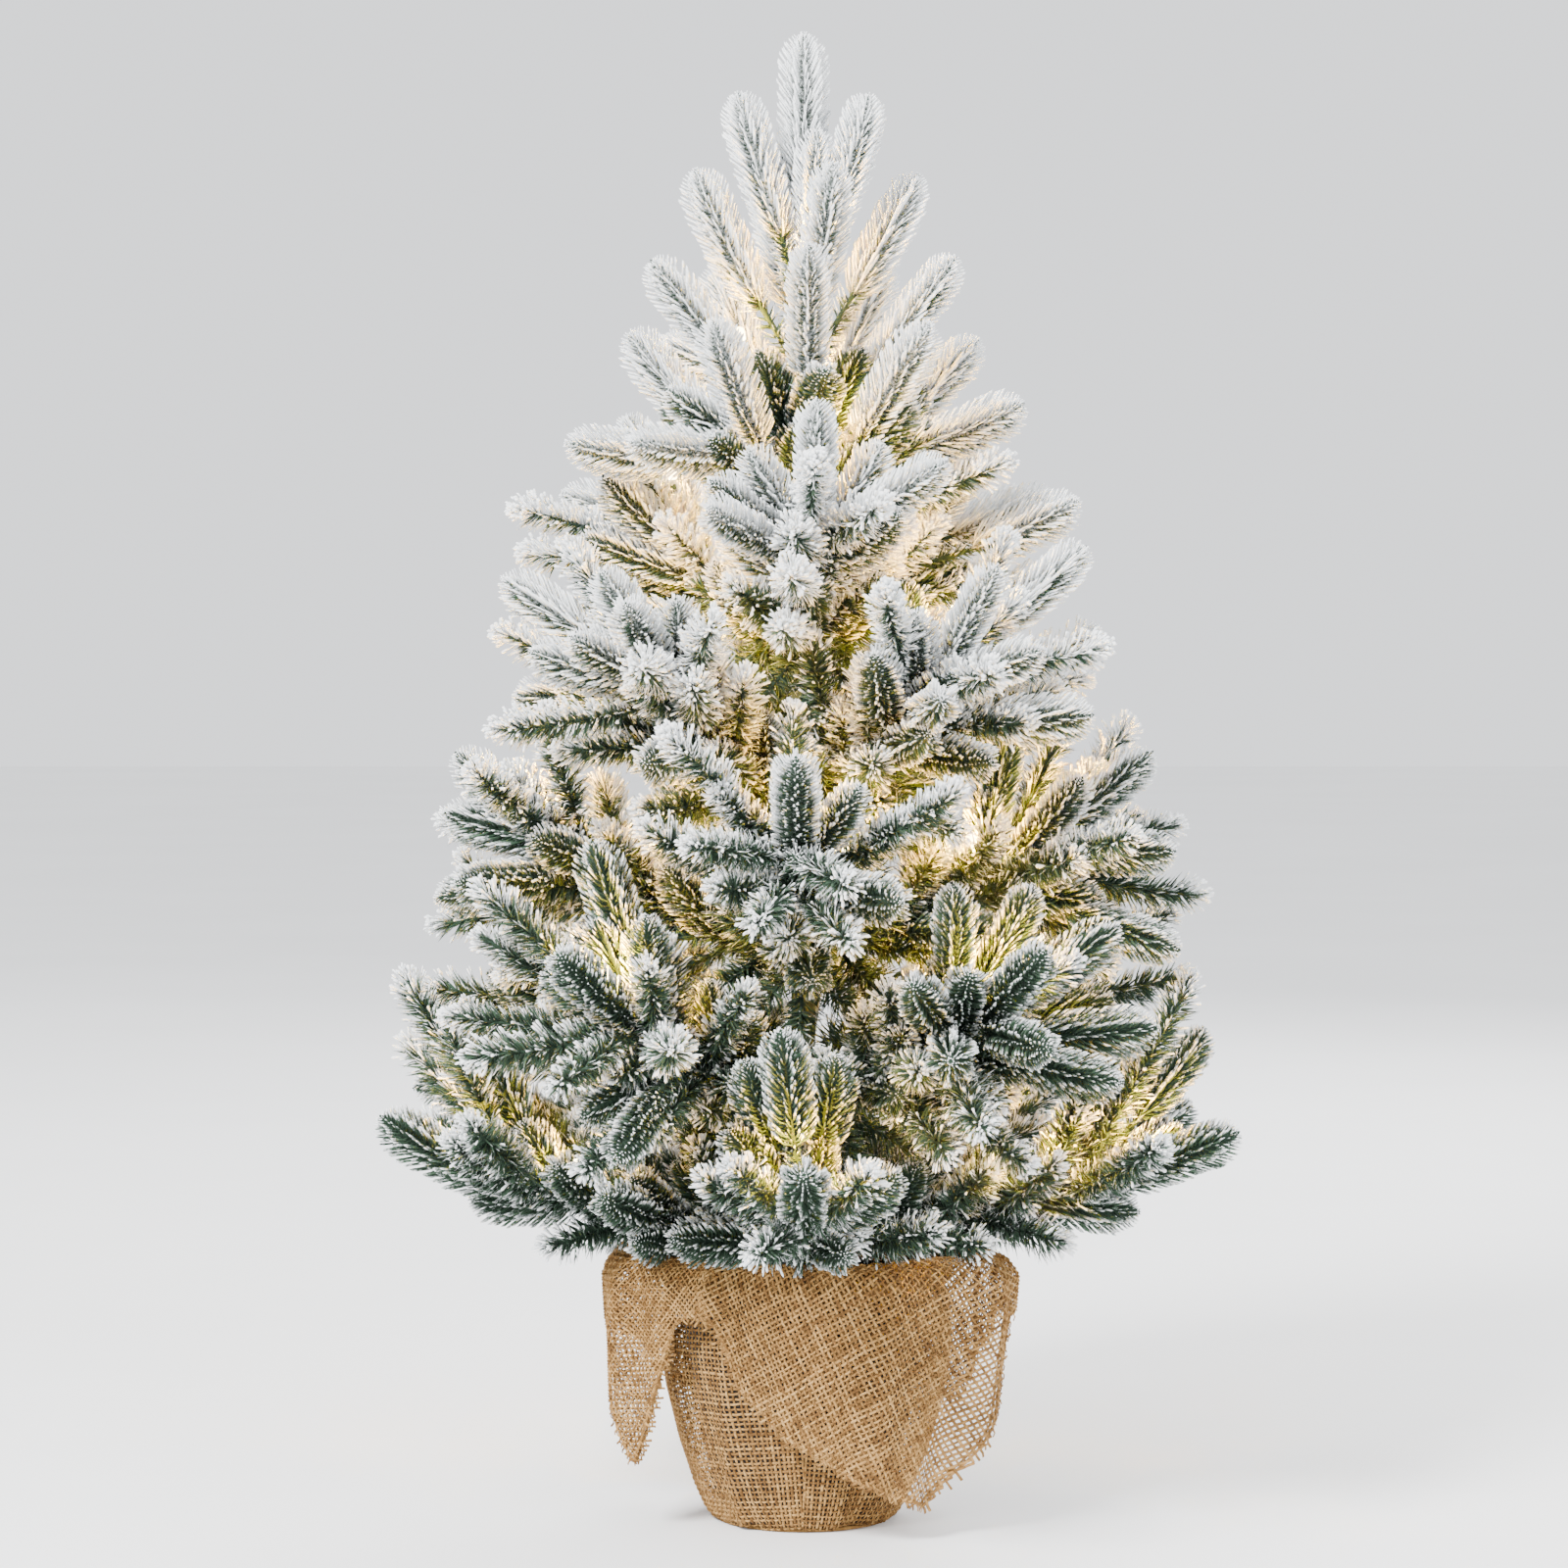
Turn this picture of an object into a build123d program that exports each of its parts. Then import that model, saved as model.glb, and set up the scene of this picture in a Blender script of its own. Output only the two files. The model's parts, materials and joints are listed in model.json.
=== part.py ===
"""Pre-lit artificial tabletop tree in a burlap-wrapped pot. Millimetres, +Z up.

The origin is where the trunk's axis meets the surface that the tree stands on. The front is -Y.
Bristle branches hinge up on their wire roots; the crown is fixed to the trunk.
"""
from build123d import *
import os
from math import cos, radians, sin, tan

os.makedirs("parts", exist_ok=True)

# ---------------------------------------------------------------- overall sizes
tree_height = 611.0
fit_gap = 0.3

# pot, its filling and the trunk
pot_floor_z = 1.6
pot_height = 97.0
pot_bottom_radius = 35.5
pot_mouth_radius = 53.0
pot_wall = 1.8
pot_rim_width = 1.8
pot_rim_height = 4.0
cement_depth = 26.7
trunk_radius = 5.0
trunk_foot_depth = 18.0
trunk_climb = 293.0
collar_wall = 1.1
collar_height = 9.0

# burlap cloth gathered round the pot and tied at the neck
cloth_thickness = 1.2
bag_foot_slack = 1.8
bag_belly_slack = 6.0
bag_belly_below_rim = 24.6
neck_slack = 1.0
neck_above_rim = 5.4
skirt_thickness = 2.4
skirt_crest_reach = 13.0
skirt_crest_rise = 8.5
skirt_shoulder_drop = 12.0
skirt_edge_reach = 27.0
skirt_edge_drop = 20.0
flap_half_width = 40.0
flap_tip_half_width = 9.0
flap_reach = 17.0
flap_overlap = 10.0
# direction of each hanging corner in degrees, and the height of its tip
flap_corners = {
    "front_right": (-48, 16.0), "left": (206, 32.0), "rear_left": (128, 40.0), "rear_right": (40, 34.0),
}
tie_radius = 1.4
tie_gap = 0.6
tie_below_neck = 3.0

# battery box: three AA cells side by side, upright in the pot behind the trunk
cell_radius = 7.1
cell_length = 50.5
cell_pitch = 14.9
cell_nub_radius = 2.7
cell_nub_height = 1.2
box_wall = 1.5
box_front_y = 9.0
cover_thickness = 1.5
cover_lip = 1.2
cover_travel = 10.0
spring_height = 3.6
spring_radius = 4.2
spring_wire = 0.8
plate_thickness = 0.5
board_thickness = 1.2
board_space = 9.0
button_radius = 2.6
button_height = 5.0
button_travel = 1.5
button_flange = 0.9
button_x = 14.0
pull_height = 1.6
pull_width = 16.0
pull_below_top = 14.0

# bristle branches
stem_radius = 1.7
shoot_root_radius = 1.3
shoot_radius = 3.0
shoot_tip_radius = 1.0
shoot_neck_share = 0.12
shoot_full_share = 0.35
shoot_taper_share = 0.86
stem_sunk = 4.25
pivot_radius = trunk_radius + collar_wall + fit_gap + stem_radius
lamp_radius = 2.2
lamp_holder_radius = 1.7
lamp_holder_length = 6.0
lamp_length = 12.0
lamp_lean = 26.0
branch_wire_radius = 0.7
main_wire_radius = 1.0

# Shoots on a stem: share of the stem's length, side angle, lift angle and length.
tip_shoots = [(1.0, 0, 8, 62), (0.88, 30, 10, 56), (0.88, -30, 10, 56)]
bottom_shoots = tip_shoots + [
    (0.62, 44, 12, 58), (0.62, -44, 12, 58), (0.38, 38, 16, 50), (0.38, -38, 16, 50),
    (0.76, 10, 44, 42), (0.48, -10, 52, 40), (0.52, 24, -24, 46), (0.74, -22, -20, 46),
]
lower_shoots = tip_shoots + [
    (0.58, 46, 12, 60), (0.58, -46, 12, 60), (0.34, 35, 16, 48), (0.34, -35, 16, 48),
    (0.74, -10, 44, 42), (0.46, 10, 52, 40),
]
middle_shoots = tip_shoots + [
    (0.54, 42, 12, 54), (0.54, -42, 12, 54), (0.30, 32, 16, 44), (0.30, -32, 16, 44),
    (0.72, 10, 44, 40), (0.42, -10, 52, 38),
]
upper_shoots = tip_shoots + [
    (0.48, 36, 12, 46), (0.48, -36, 12, 46), (0.24, 26, 20, 38), (0.24, -26, 20, 38),
    (0.66, -8, 40, 38),
]
top_shoots = tip_shoots + [
    (0.46, 50, 10, 52), (0.46, -50, 10, 52), (0.20, 48, 14, 46), (0.20, -48, 14, 46),
]

# Rings of branches, from the lowest up: climb above the lowest ring, elevation, stem length and directions.
# Climbs are for a tree whose tip is full_climb above its lowest ring, and are scaled for any other height.
full_climb = 499.0
ring_above_rim = 13.4
ring_above_cover = 4.1
rings = {
    "bottom": {
        "climb": 0, "rise": 14, "stem": 124, "turns": (-90, -18, 54, 126, 198), "shoots": bottom_shoots,
    },
    "lower": {"climb": 58, "rise": 22, "stem": 112, "turns": (-54, -126, 139, 38), "shoots": lower_shoots},
    "middle": {"climb": 116, "rise": 30, "stem": 102, "turns": (-92, -178, 88, -6), "shoots": middle_shoots},
    "upper": {"climb": 178, "rise": 39, "stem": 88, "turns": (-48, -134, 134, 44), "shoots": upper_shoots},
    "top": {"climb": 242, "rise": 48, "stem": 68, "turns": (-86, 154, 34), "shoots": top_shoots},
}
fixed_ring = "top"

# Crown rings on the leader: climb, number of shoots, elevation, length and first direction.
crown_rings = [(296, 5, 45, 112, -50), (326, 5, 51, 104, -14), (358, 4, 58, 98, -75), (388, 3, 69, 92, -30)]
leader_stem_radius = 2.4
leader_tip_length = 91.0
leader_tip_root_radius = 1.0
leader_overlap = 10.0

# The main wire leaves the battery box upwards and climbs beside the trunk, between the branch roots.
# Points are its direction in degrees, how far it lies beyond the pivots, and its climb above the lowest ring.
wire_exit_turn = 107.5
wire_exit_distance = 19.9
wire_exit_rise = 5.0
main_wire_route = [
    (94, 4.7, -5.1), (88, 2.1, 1.9), (90, 1.7, 12.9), (83, 2.0, 33.9), (87, 2.3, 57.9), (70, 2.1, 81.9),
    (43, 2.2, 111.9), (65, 2.0, 141.9), (90, 1.9, 173.9), (97, 1.9, 205.9), (93, 2.1, 237.9),
    (81, 1.0, 269.9), (54, -0.2, 297.9), (30, -2.1, 323.9), (-62, -2.9, 347.9), (-135, -3.0, 369.9),
    (139, -4.1, 389.9),
]
# A branch's own wire: its start along and above the stem, then its height and sway at two shares of the stem.
branch_wire_start = (9.0, 3.0)
branch_wire_lift = 3.6
branch_wire_inner = (0.34, 1.4)
branch_wire_outer = (0.84, -0.8)
branch_wire_dip = 3.0
# Lamps on a branch: number of the shoot that holds it, and the share of that shoot's length.
lamp_seats = {0: 0.30, 3: 0.46}
crown_lamp_seats = [(0, 0, 0.42), (0, 2, 0.5), (1, 1, 0.3), (1, 3, 0.46), (2, 0, 0.5), (3, 1, 0.3)]

# ---------------------------------------------------------------- heights and radii that follow
pot_top_z = pot_floor_z + pot_height
pot_inside_z = pot_floor_z + pot_wall
cement_top_z = pot_inside_z + cement_depth
cell_floor_z = cement_top_z + box_wall
cell_z = cell_floor_z + spring_height
board_z = cell_z + cell_length + cell_nub_height + plate_thickness + fit_gap
box_top_z = board_z + board_thickness + board_space
lowest_ring_z = max(pot_top_z + ring_above_rim, box_top_z + cover_travel + ring_above_cover)
climb_scale = (tree_height - lowest_ring_z) / full_climb
leader_shoot_z = tree_height - leader_tip_length
neck_radius = pot_mouth_radius + pot_rim_width + neck_slack + cloth_thickness
neck_z = pot_top_z + neck_above_rim
bag_foot_radius = pot_bottom_radius + bag_foot_slack + cloth_thickness
bag_belly_radius = pot_mouth_radius + pot_rim_width + bag_belly_slack + cloth_thickness
bag_belly_z = pot_top_z - bag_belly_below_rim
skirt_crest_radius = neck_radius + skirt_crest_reach
skirt_crest_z = neck_z + skirt_crest_rise
skirt_edge_radius = neck_radius + skirt_edge_reach
skirt_edge_z = neck_z - skirt_edge_drop


def height(climb):
    """The height of a climb above the lowest ring, spaced to suit the tree's own height."""
    return lowest_ring_z + climb * climb_scale


trunk_top_z = height(trunk_climb)


def save(builder, name):
    """Labels a finished piece and writes its file."""
    builder.part.label = name
    export_step(builder.part, f"parts/{name}.step")


def heading(turn, rise):
    """Unit vectors of a branch: along it, to its side and up from it."""
    outwards = Vector(cos(radians(turn)), sin(radians(turn)), 0)
    along = outwards * cos(radians(rise)) + Vector(0, 0, sin(radians(rise)))
    side = Vector(-outwards.Y, outwards.X, 0)
    return along, side, along.cross(side)


def turned(along, side, up, side_angle, lift_angle):
    """A shoot's direction, turned sideways and then lifted from its stem."""
    level = along * cos(radians(side_angle)) + side * sin(radians(side_angle))
    return level * cos(radians(lift_angle)) + up * sin(radians(lift_angle))


def branch_layout(ring, number):
    """Root, stem end, and each shoot's base, direction and length."""
    along, side, up = heading(ring["turns"][number], ring["rise"])
    reach = pivot_radius
    turn = radians(ring["turns"][number])
    root = Vector(reach * cos(turn), reach * sin(turn), height(ring["climb"]))
    hand = 1 if number % 2 == 0 else -1
    shoots = []
    for share, side_angle, lift_angle, length in ring["shoots"]:
        way = turned(along, side, up, hand * side_angle, lift_angle)
        shoots.append((root + along * (ring["stem"] * share), way, length))
    return root, along, side, up, shoots


def crown_layout():
    """Base, direction and length of each shoot round the leader, ring by ring."""
    layout = []
    for climb, count, rise, length, first in crown_rings:
        base = Vector(0, 0, height(climb))
        ways = [heading(first + 360 / count * i, rise)[0] for i in range(count)]
        layout.append([(base, way, length) for way in ways])
    return layout


def across(way):
    """A unit vector square to a direction, as near to upright as it can be."""
    upright = Vector(0, 0, 1) if abs(way.Z) < 0.95 else Vector(1, 0, 0)
    return way.cross(upright).cross(way).normalized()


def add_spindle(base, way, length, root_radius, full_radius, tip_radius):
    """Adds a spindle-shaped shoot to the open part: thin at its root, domed at its tip."""
    out = across(way)
    with BuildSketch(Plane(origin=base, x_dir=way, z_dir=way.cross(out))) as half_section:
        with BuildLine():
            Polyline(
                (0, 0), (0, root_radius), (length * shoot_neck_share, full_radius * 0.8),
                (length * shoot_full_share, full_radius), (length * shoot_taper_share, full_radius),
                (length, tip_radius), (length, 0), close=True,
            )
        make_face()
    revolve(half_section.sketch, axis=Axis(base, way))


def add_lamp(base, way):
    """Adds one lamp to the open part: a slim holder with a domed bulb at its end."""
    out = across(way)
    with BuildSketch(Plane(origin=base, x_dir=way, z_dir=way.cross(out))) as half_section:
        with BuildLine():
            Polyline(
                (0, 0), (0, lamp_holder_radius), (lamp_holder_length, lamp_holder_radius),
                (lamp_holder_length, lamp_radius), (lamp_length - lamp_radius, lamp_radius),
            )
            RadiusArc((lamp_length - lamp_radius, lamp_radius), (lamp_length, 0), lamp_radius)
            Line((lamp_length, 0), (0, 0))
        make_face()
    revolve(half_section.sketch, axis=Axis(base, way))


def lamp_place(base, way, length, share):
    """Where a lamp sits: on the upper side of its shoot, leaning outwards."""
    out = across(way)
    seat = base + way * (length * share) + out * (shoot_radius + lamp_radius)
    return seat, way * cos(radians(lamp_lean)) + out * sin(radians(lamp_lean))


def bend_radii(points):
    """The largest radius each corner has room for."""
    radii = []
    for before, corner, after in zip(points, points[1:], points[2:]):
        arriving, leaving = corner - before, after - corner
        half_turn = radians(arriving.get_angle(leaving)) / 2
        radii.append(0.45 * min(arriving.length, leaving.length) / tan(half_turn))
    return radii


def add_tube(points, radius):
    """Adds a wire to the open part: straight runs joined by tangent arcs."""
    with BuildLine():
        path = FilletPolyline(*points, radius=bend_radii(points))
    with BuildSketch(Plane(origin=path @ 0, z_dir=path % 0)) as section:
        Circle(radius)
    sweep(section.sketch, path=path)
    return path.length


# ---------------------------------------------------------------- pot, filling and trunk
def pot_outer(z):
    """The pot's outer radius at a height."""
    return pot_bottom_radius + (pot_mouth_radius - pot_bottom_radius) * (z - pot_floor_z) / pot_height


with BuildPart() as pot:
    with BuildSketch(Plane.XZ):
        with BuildLine():
            Polyline(
                (0, pot_floor_z), (pot_bottom_radius, pot_floor_z),
                (pot_outer(pot_top_z - pot_rim_height), pot_top_z - pot_rim_height),
                (pot_mouth_radius + pot_rim_width, pot_top_z - pot_rim_height),
                (pot_mouth_radius + pot_rim_width, pot_top_z), (pot_mouth_radius - pot_wall, pot_top_z),
                (pot_outer(pot_inside_z) - pot_wall, pot_inside_z), (0, pot_inside_z), close=True,
            )
        make_face()
    revolve(axis=Axis.Z)
save(pot, "pot")

with BuildPart() as cement_fill:
    with BuildSketch(Plane.XZ):
        with BuildLine():
            Polyline(
                (0, pot_inside_z), (pot_outer(pot_inside_z) - pot_wall, pot_inside_z),
                (pot_outer(cement_top_z) - pot_wall, cement_top_z), (0, cement_top_z), close=True,
            )
        make_face()
    revolve(axis=Axis.Z)
    with BuildSketch(Plane.XY.offset(cement_top_z)):
        Circle(trunk_radius)
    extrude(amount=-trunk_foot_depth, mode=Mode.SUBTRACT)
save(cement_fill, "cement_fill")

with BuildPart() as trunk:
    with BuildSketch(Plane.XY.offset(cement_top_z - trunk_foot_depth)):
        Circle(trunk_radius)
    extrude(amount=trunk_top_z - cement_top_z + trunk_foot_depth)
save(trunk, "trunk")

with BuildPart() as branch_collars:
    for ring_name, ring in rings.items():
        if ring_name != fixed_ring:
            with BuildSketch(Plane.XY.offset(height(ring["climb"]) - collar_height / 2)):
                Circle(trunk_radius + collar_wall)
                Circle(trunk_radius, mode=Mode.SUBTRACT)
            extrude(amount=collar_height)
save(branch_collars, "branch_collars")

# ---------------------------------------------------------------- burlap
with BuildPart() as burlap_wrap:
    with BuildSketch(Plane.XZ):
        with BuildLine():
            bag_side = Spline((bag_foot_radius, 0), (bag_belly_radius, bag_belly_z), (neck_radius, neck_z),
                              tangents=[(0.35, 1), (-0.45, 1)])
            Line(bag_side @ 1, (neck_radius - cloth_thickness, neck_z))
            bag_lining = Spline(
                (neck_radius - cloth_thickness, neck_z), (bag_belly_radius - cloth_thickness, bag_belly_z),
                (bag_foot_radius - cloth_thickness, cloth_thickness), tangents=[(0.45, -1), (-0.35, -1)])
            Polyline(bag_lining @ 1, (0, cloth_thickness), (0, 0), bag_side @ 0)
        make_face()
    revolve(axis=Axis.Z)
    with BuildSketch(Plane.XZ):
        with BuildLine():
            Polyline(
                (neck_radius - cloth_thickness, neck_z - 2), (neck_radius, neck_z - 2),
                (skirt_crest_radius, skirt_crest_z - skirt_thickness),
                (skirt_edge_radius - skirt_thickness, skirt_crest_z - skirt_shoulder_drop),
                (skirt_edge_radius - skirt_thickness, skirt_edge_z), (skirt_edge_radius, skirt_edge_z),
                (skirt_edge_radius, skirt_crest_z - skirt_shoulder_drop + 1),
                (skirt_crest_radius + 1, skirt_crest_z), (skirt_crest_radius - 4, skirt_crest_z), close=True,
            )
        make_face()
    revolve(axis=Axis.Z)
    for direction, tip_z in flap_corners.values():
        facing = Vector(cos(radians(direction)), sin(radians(direction)), 0)
        sideways = Vector(-facing.Y, facing.X, 0)
        with BuildSketch(Plane(origin=facing * (neck_radius + flap_reach), x_dir=sideways, z_dir=facing)):
            with BuildLine():
                Polyline(
                    (-flap_half_width, skirt_edge_z), (-flap_half_width, skirt_edge_z + flap_overlap),
                    (flap_half_width, skirt_edge_z + flap_overlap), (flap_half_width, skirt_edge_z),
                    (flap_tip_half_width, tip_z), (-flap_tip_half_width, tip_z), close=True,
                )
            make_face()
        extrude(amount=skirt_thickness)
save(burlap_wrap, "burlap_wrap")

with BuildPart() as burlap_tie:
    with BuildSketch(Plane.XZ):
        with Locations((neck_radius + 2 * tie_radius + tie_gap, neck_z - tie_below_neck)):
            Circle(tie_radius)
    revolve(axis=Axis.Z)
save(burlap_tie, "burlap_tie")

# ---------------------------------------------------------------- battery box
box_width = 2 * cell_radius + 2 * cell_pitch + 2 * fit_gap + 2 * box_wall
cell_space = 2 * cell_radius + 2 * fit_gap
cover_y = box_front_y + box_wall + cell_space
box_back_y = cover_y + cover_thickness + 2 * fit_gap + cover_lip
cell_y = box_front_y + box_wall + cell_space / 2
cell_xs = [-cell_pitch, 0, cell_pitch]
cover_half_width = box_width / 2 - box_wall / 2 - fit_gap
cover_bottom_z = cell_floor_z + fit_gap

with BuildPart() as battery_box:
    with BuildSketch(Plane.XY.offset(cement_top_z)):
        with Locations((0, (box_front_y + box_back_y) / 2)):
            Rectangle(box_width, box_back_y - box_front_y)
    extrude(amount=box_top_z - cement_top_z)
    with BuildSketch(Plane.XY.offset(cell_floor_z)):
        with Locations((0, (box_front_y + box_wall + box_back_y) / 2)):
            Rectangle(box_width - 2 * box_wall - 2 * cover_lip, box_back_y - box_front_y - box_wall)
        with Locations((0, cell_y)):
            Rectangle(box_width - 2 * box_wall, cell_space)
    extrude(amount=box_top_z - box_wall - cell_floor_z, mode=Mode.SUBTRACT)
    with BuildSketch(Plane.XY.offset(cell_floor_z)):
        with Locations((0, cover_y + cover_thickness / 2 + fit_gap)):
            Rectangle(box_width - box_wall, cover_thickness + 2 * fit_gap)
    extrude(amount=box_top_z - cell_floor_z, mode=Mode.SUBTRACT)
    with BuildSketch(Plane.XY.offset(box_top_z)):
        with Locations((0, box_back_y)):
            Rectangle(box_width - 2 * box_wall - 2 * cover_lip, 2 * (box_back_y - cover_y))
    extrude(amount=-box_wall, mode=Mode.SUBTRACT)
    with BuildSketch(Plane.XY.offset(box_top_z)):
        with Locations((button_x, cell_y)):
            Circle(button_radius + fit_gap)
    extrude(amount=-box_wall, mode=Mode.SUBTRACT)
save(battery_box, "battery_box")

with BuildPart() as battery_cover:
    with BuildSketch(Plane.XY.offset(cover_bottom_z)):
        with Locations((0, cover_y + fit_gap + cover_thickness / 2)):
            Rectangle(2 * cover_half_width, cover_thickness)
    extrude(amount=box_top_z - cover_bottom_z)
    with BuildSketch(Plane.XY.offset(box_top_z - pull_below_top)):
        with Locations((0, cover_y + fit_gap + cover_thickness)):
            Rectangle(pull_width, pull_height)
    extrude(amount=pull_height)
save(battery_cover, "battery_cover")

for number, x in enumerate(cell_xs, 1):
    with BuildPart() as battery:
        with BuildSketch(Plane.XY.offset(cell_z)):
            with Locations((x, cell_y)):
                Circle(cell_radius)
        extrude(amount=cell_length)
        with BuildSketch(Plane.XY.offset(cell_z + cell_length)):
            with Locations((x, cell_y)):
                Circle(cell_nub_radius)
        extrude(amount=cell_nub_height)
    save(battery, f"battery_{number}")

with BuildPart() as battery_contacts:
    for x in cell_xs:
        with BuildSketch(Plane.XY.offset(cell_floor_z)):
            with Locations((x, cell_y)):
                Circle(spring_radius)
                Circle(spring_radius - spring_wire, mode=Mode.SUBTRACT)
        extrude(amount=spring_height)
        with BuildSketch(Plane.XY.offset(cell_z + cell_length + cell_nub_height)):
            with Locations((x, cell_y)):
                Rectangle(2 * cell_radius - 3, 2 * cell_radius - 4)
        extrude(amount=plate_thickness)
save(battery_contacts, "battery_contacts")

with BuildPart() as circuit_board:
    with BuildSketch(Plane.XY.offset(board_z)):
        with Locations((0, cell_y)):
            Rectangle(box_width - 2 * box_wall - 2 * fit_gap, cell_space - 2 * fit_gap)
    extrude(amount=board_thickness)
save(circuit_board, "circuit_board")

with BuildPart() as switch_button:
    button_foot_z = board_z + board_thickness + button_travel + fit_gap
    with BuildSketch(Plane.XY.offset(button_foot_z)):
        with Locations((button_x, cell_y)):
            Circle(button_radius)
    extrude(amount=box_top_z + button_height - button_foot_z)
    with BuildSketch(Plane.XY.offset(button_foot_z)):
        with Locations((button_x, cell_y)):
            Circle(button_radius + button_flange)
    extrude(amount=button_flange)
save(switch_button, "switch_button")

# ---------------------------------------------------------------- branches and their lamps
for ring_name, ring in rings.items():
    for number in range(len(ring["turns"])):
        root, along, side, up, shoots = branch_layout(ring, number)
        stem_start = root if ring_name != fixed_ring else root - along * stem_sunk
        stem_end = root + along * ring["stem"]
        with BuildPart() as branch:
            with BuildSketch(Plane(origin=stem_start, z_dir=along)):
                Circle(stem_radius)
            extrude(amount=(stem_end - stem_start).length)
            if ring_name != fixed_ring:
                with Locations(root):
                    Sphere(stem_radius)
            for base, way, length in shoots:
                add_spindle(base, way, length, shoot_root_radius, shoot_radius, shoot_tip_radius)
        save(branch, f"{ring_name}_branch_{number + 1}")

        if ring_name != fixed_ring:
            places = [lamp_place(*shoots[index], share) for index, share in lamp_seats.items()]
            first_place, last_place = places[1], places[0]
            inner, outer = [
                root + along * (ring["stem"] * share) + up * branch_wire_lift + side * sway
                for share, sway in (branch_wire_inner, branch_wire_outer)
            ]
            wire_points = [
                root + along * branch_wire_start[0] + up * branch_wire_start[1], inner,
                first_place[0] - along * branch_wire_dip, outer, last_place[0] + last_place[1],
            ]
            with BuildPart() as lights:
                add_tube(wire_points, branch_wire_radius)
                for seat, way in places:
                    add_lamp(seat, way)
            save(lights, f"{ring_name}_lights_{number + 1}")

# ---------------------------------------------------------------- leader, crown lamps and main wire
crown = crown_layout()

with BuildPart() as leader:
    with BuildSketch(Plane.XY.offset(trunk_top_z)):
        Circle(leader_stem_radius)
    extrude(amount=leader_shoot_z + leader_overlap - trunk_top_z)
    for crown_ring in crown:
        for base, way, length in crown_ring:
            add_spindle(base, way, length, shoot_root_radius, shoot_radius, shoot_tip_radius)
    add_spindle(
        Vector(0, 0, leader_shoot_z), Vector(0, 0, 1), leader_tip_length,
        leader_tip_root_radius, shoot_radius, shoot_tip_radius,
    )
save(leader, "leader")

with BuildPart() as top_lights:
    top_ring = rings[fixed_ring]
    for number in range(len(top_ring["turns"])):
        top_branch_shoots = branch_layout(top_ring, number)[4]
        add_lamp(*lamp_place(*top_branch_shoots[0], lamp_seats[0]))
        add_lamp(*lamp_place(*top_branch_shoots[3], lamp_seats[3]))
    for ring_number, shoot_number, share in crown_lamp_seats:
        add_lamp(*lamp_place(*crown[ring_number][shoot_number], share))
save(top_lights, "top_lights")

with BuildPart() as light_wire:
    exit_x = wire_exit_distance * cos(radians(wire_exit_turn))
    exit_y = wire_exit_distance * sin(radians(wire_exit_turn))
    route = [Vector(exit_x, exit_y, box_top_z), Vector(exit_x, exit_y, box_top_z + wire_exit_rise)]
    for turn, beyond, climb in main_wire_route:
        reach = pivot_radius + beyond
        route.append(Vector(reach * cos(radians(turn)), reach * sin(radians(turn)), height(climb)))
    wire_length = add_tube(route, main_wire_radius)
save(light_wire, "light_wire")
print("main wire length", round(wire_length, 1))
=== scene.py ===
"""Looks of the pre-lit artificial tabletop tree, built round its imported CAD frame.

Lengths are in millimetres up to Shape.make, which writes every mesh in metres in the frame's own axes.
"""
import json
from math import cos, pi, radians, sin

import bpy
import numpy as np
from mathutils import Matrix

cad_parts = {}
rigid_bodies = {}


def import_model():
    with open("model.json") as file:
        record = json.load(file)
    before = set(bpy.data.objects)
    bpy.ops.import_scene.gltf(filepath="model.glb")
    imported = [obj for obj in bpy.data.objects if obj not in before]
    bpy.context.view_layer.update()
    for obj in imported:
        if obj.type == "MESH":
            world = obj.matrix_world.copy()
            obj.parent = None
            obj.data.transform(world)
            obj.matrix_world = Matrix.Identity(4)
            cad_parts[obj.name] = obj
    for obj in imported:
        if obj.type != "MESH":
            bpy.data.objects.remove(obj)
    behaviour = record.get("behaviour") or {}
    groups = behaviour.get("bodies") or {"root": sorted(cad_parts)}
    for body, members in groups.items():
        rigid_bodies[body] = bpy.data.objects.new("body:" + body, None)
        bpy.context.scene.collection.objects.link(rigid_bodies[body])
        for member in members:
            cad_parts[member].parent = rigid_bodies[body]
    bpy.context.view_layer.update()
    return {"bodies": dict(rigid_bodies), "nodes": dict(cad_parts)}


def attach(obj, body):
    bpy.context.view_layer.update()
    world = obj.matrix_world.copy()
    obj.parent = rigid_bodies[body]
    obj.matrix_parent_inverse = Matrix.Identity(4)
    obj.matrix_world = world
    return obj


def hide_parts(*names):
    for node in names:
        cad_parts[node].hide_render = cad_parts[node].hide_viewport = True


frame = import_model()
random = np.random.default_rng(2411)

MM = 0.001
UP = np.array([0.0, 0.0, 1.0])

# ---------------------------------------------------------------- camera
camera_data = bpy.data.cameras.new("camera")
camera_data.sensor_width = 36.0
camera_data.lens = 100.4
camera = bpy.data.objects.new("camera", camera_data)
bpy.context.scene.collection.objects.link(camera)
camera.location = (-0.008, -1.80, 0.380)
camera_target = (-0.008, 0.0, 0.303)
aim_down = np.arctan2(camera.location[2] - camera_target[2], -camera.location[1])
camera.rotation_euler = (pi / 2 - aim_down, 0.0, 0.0)
bpy.context.scene.camera = camera

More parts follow.
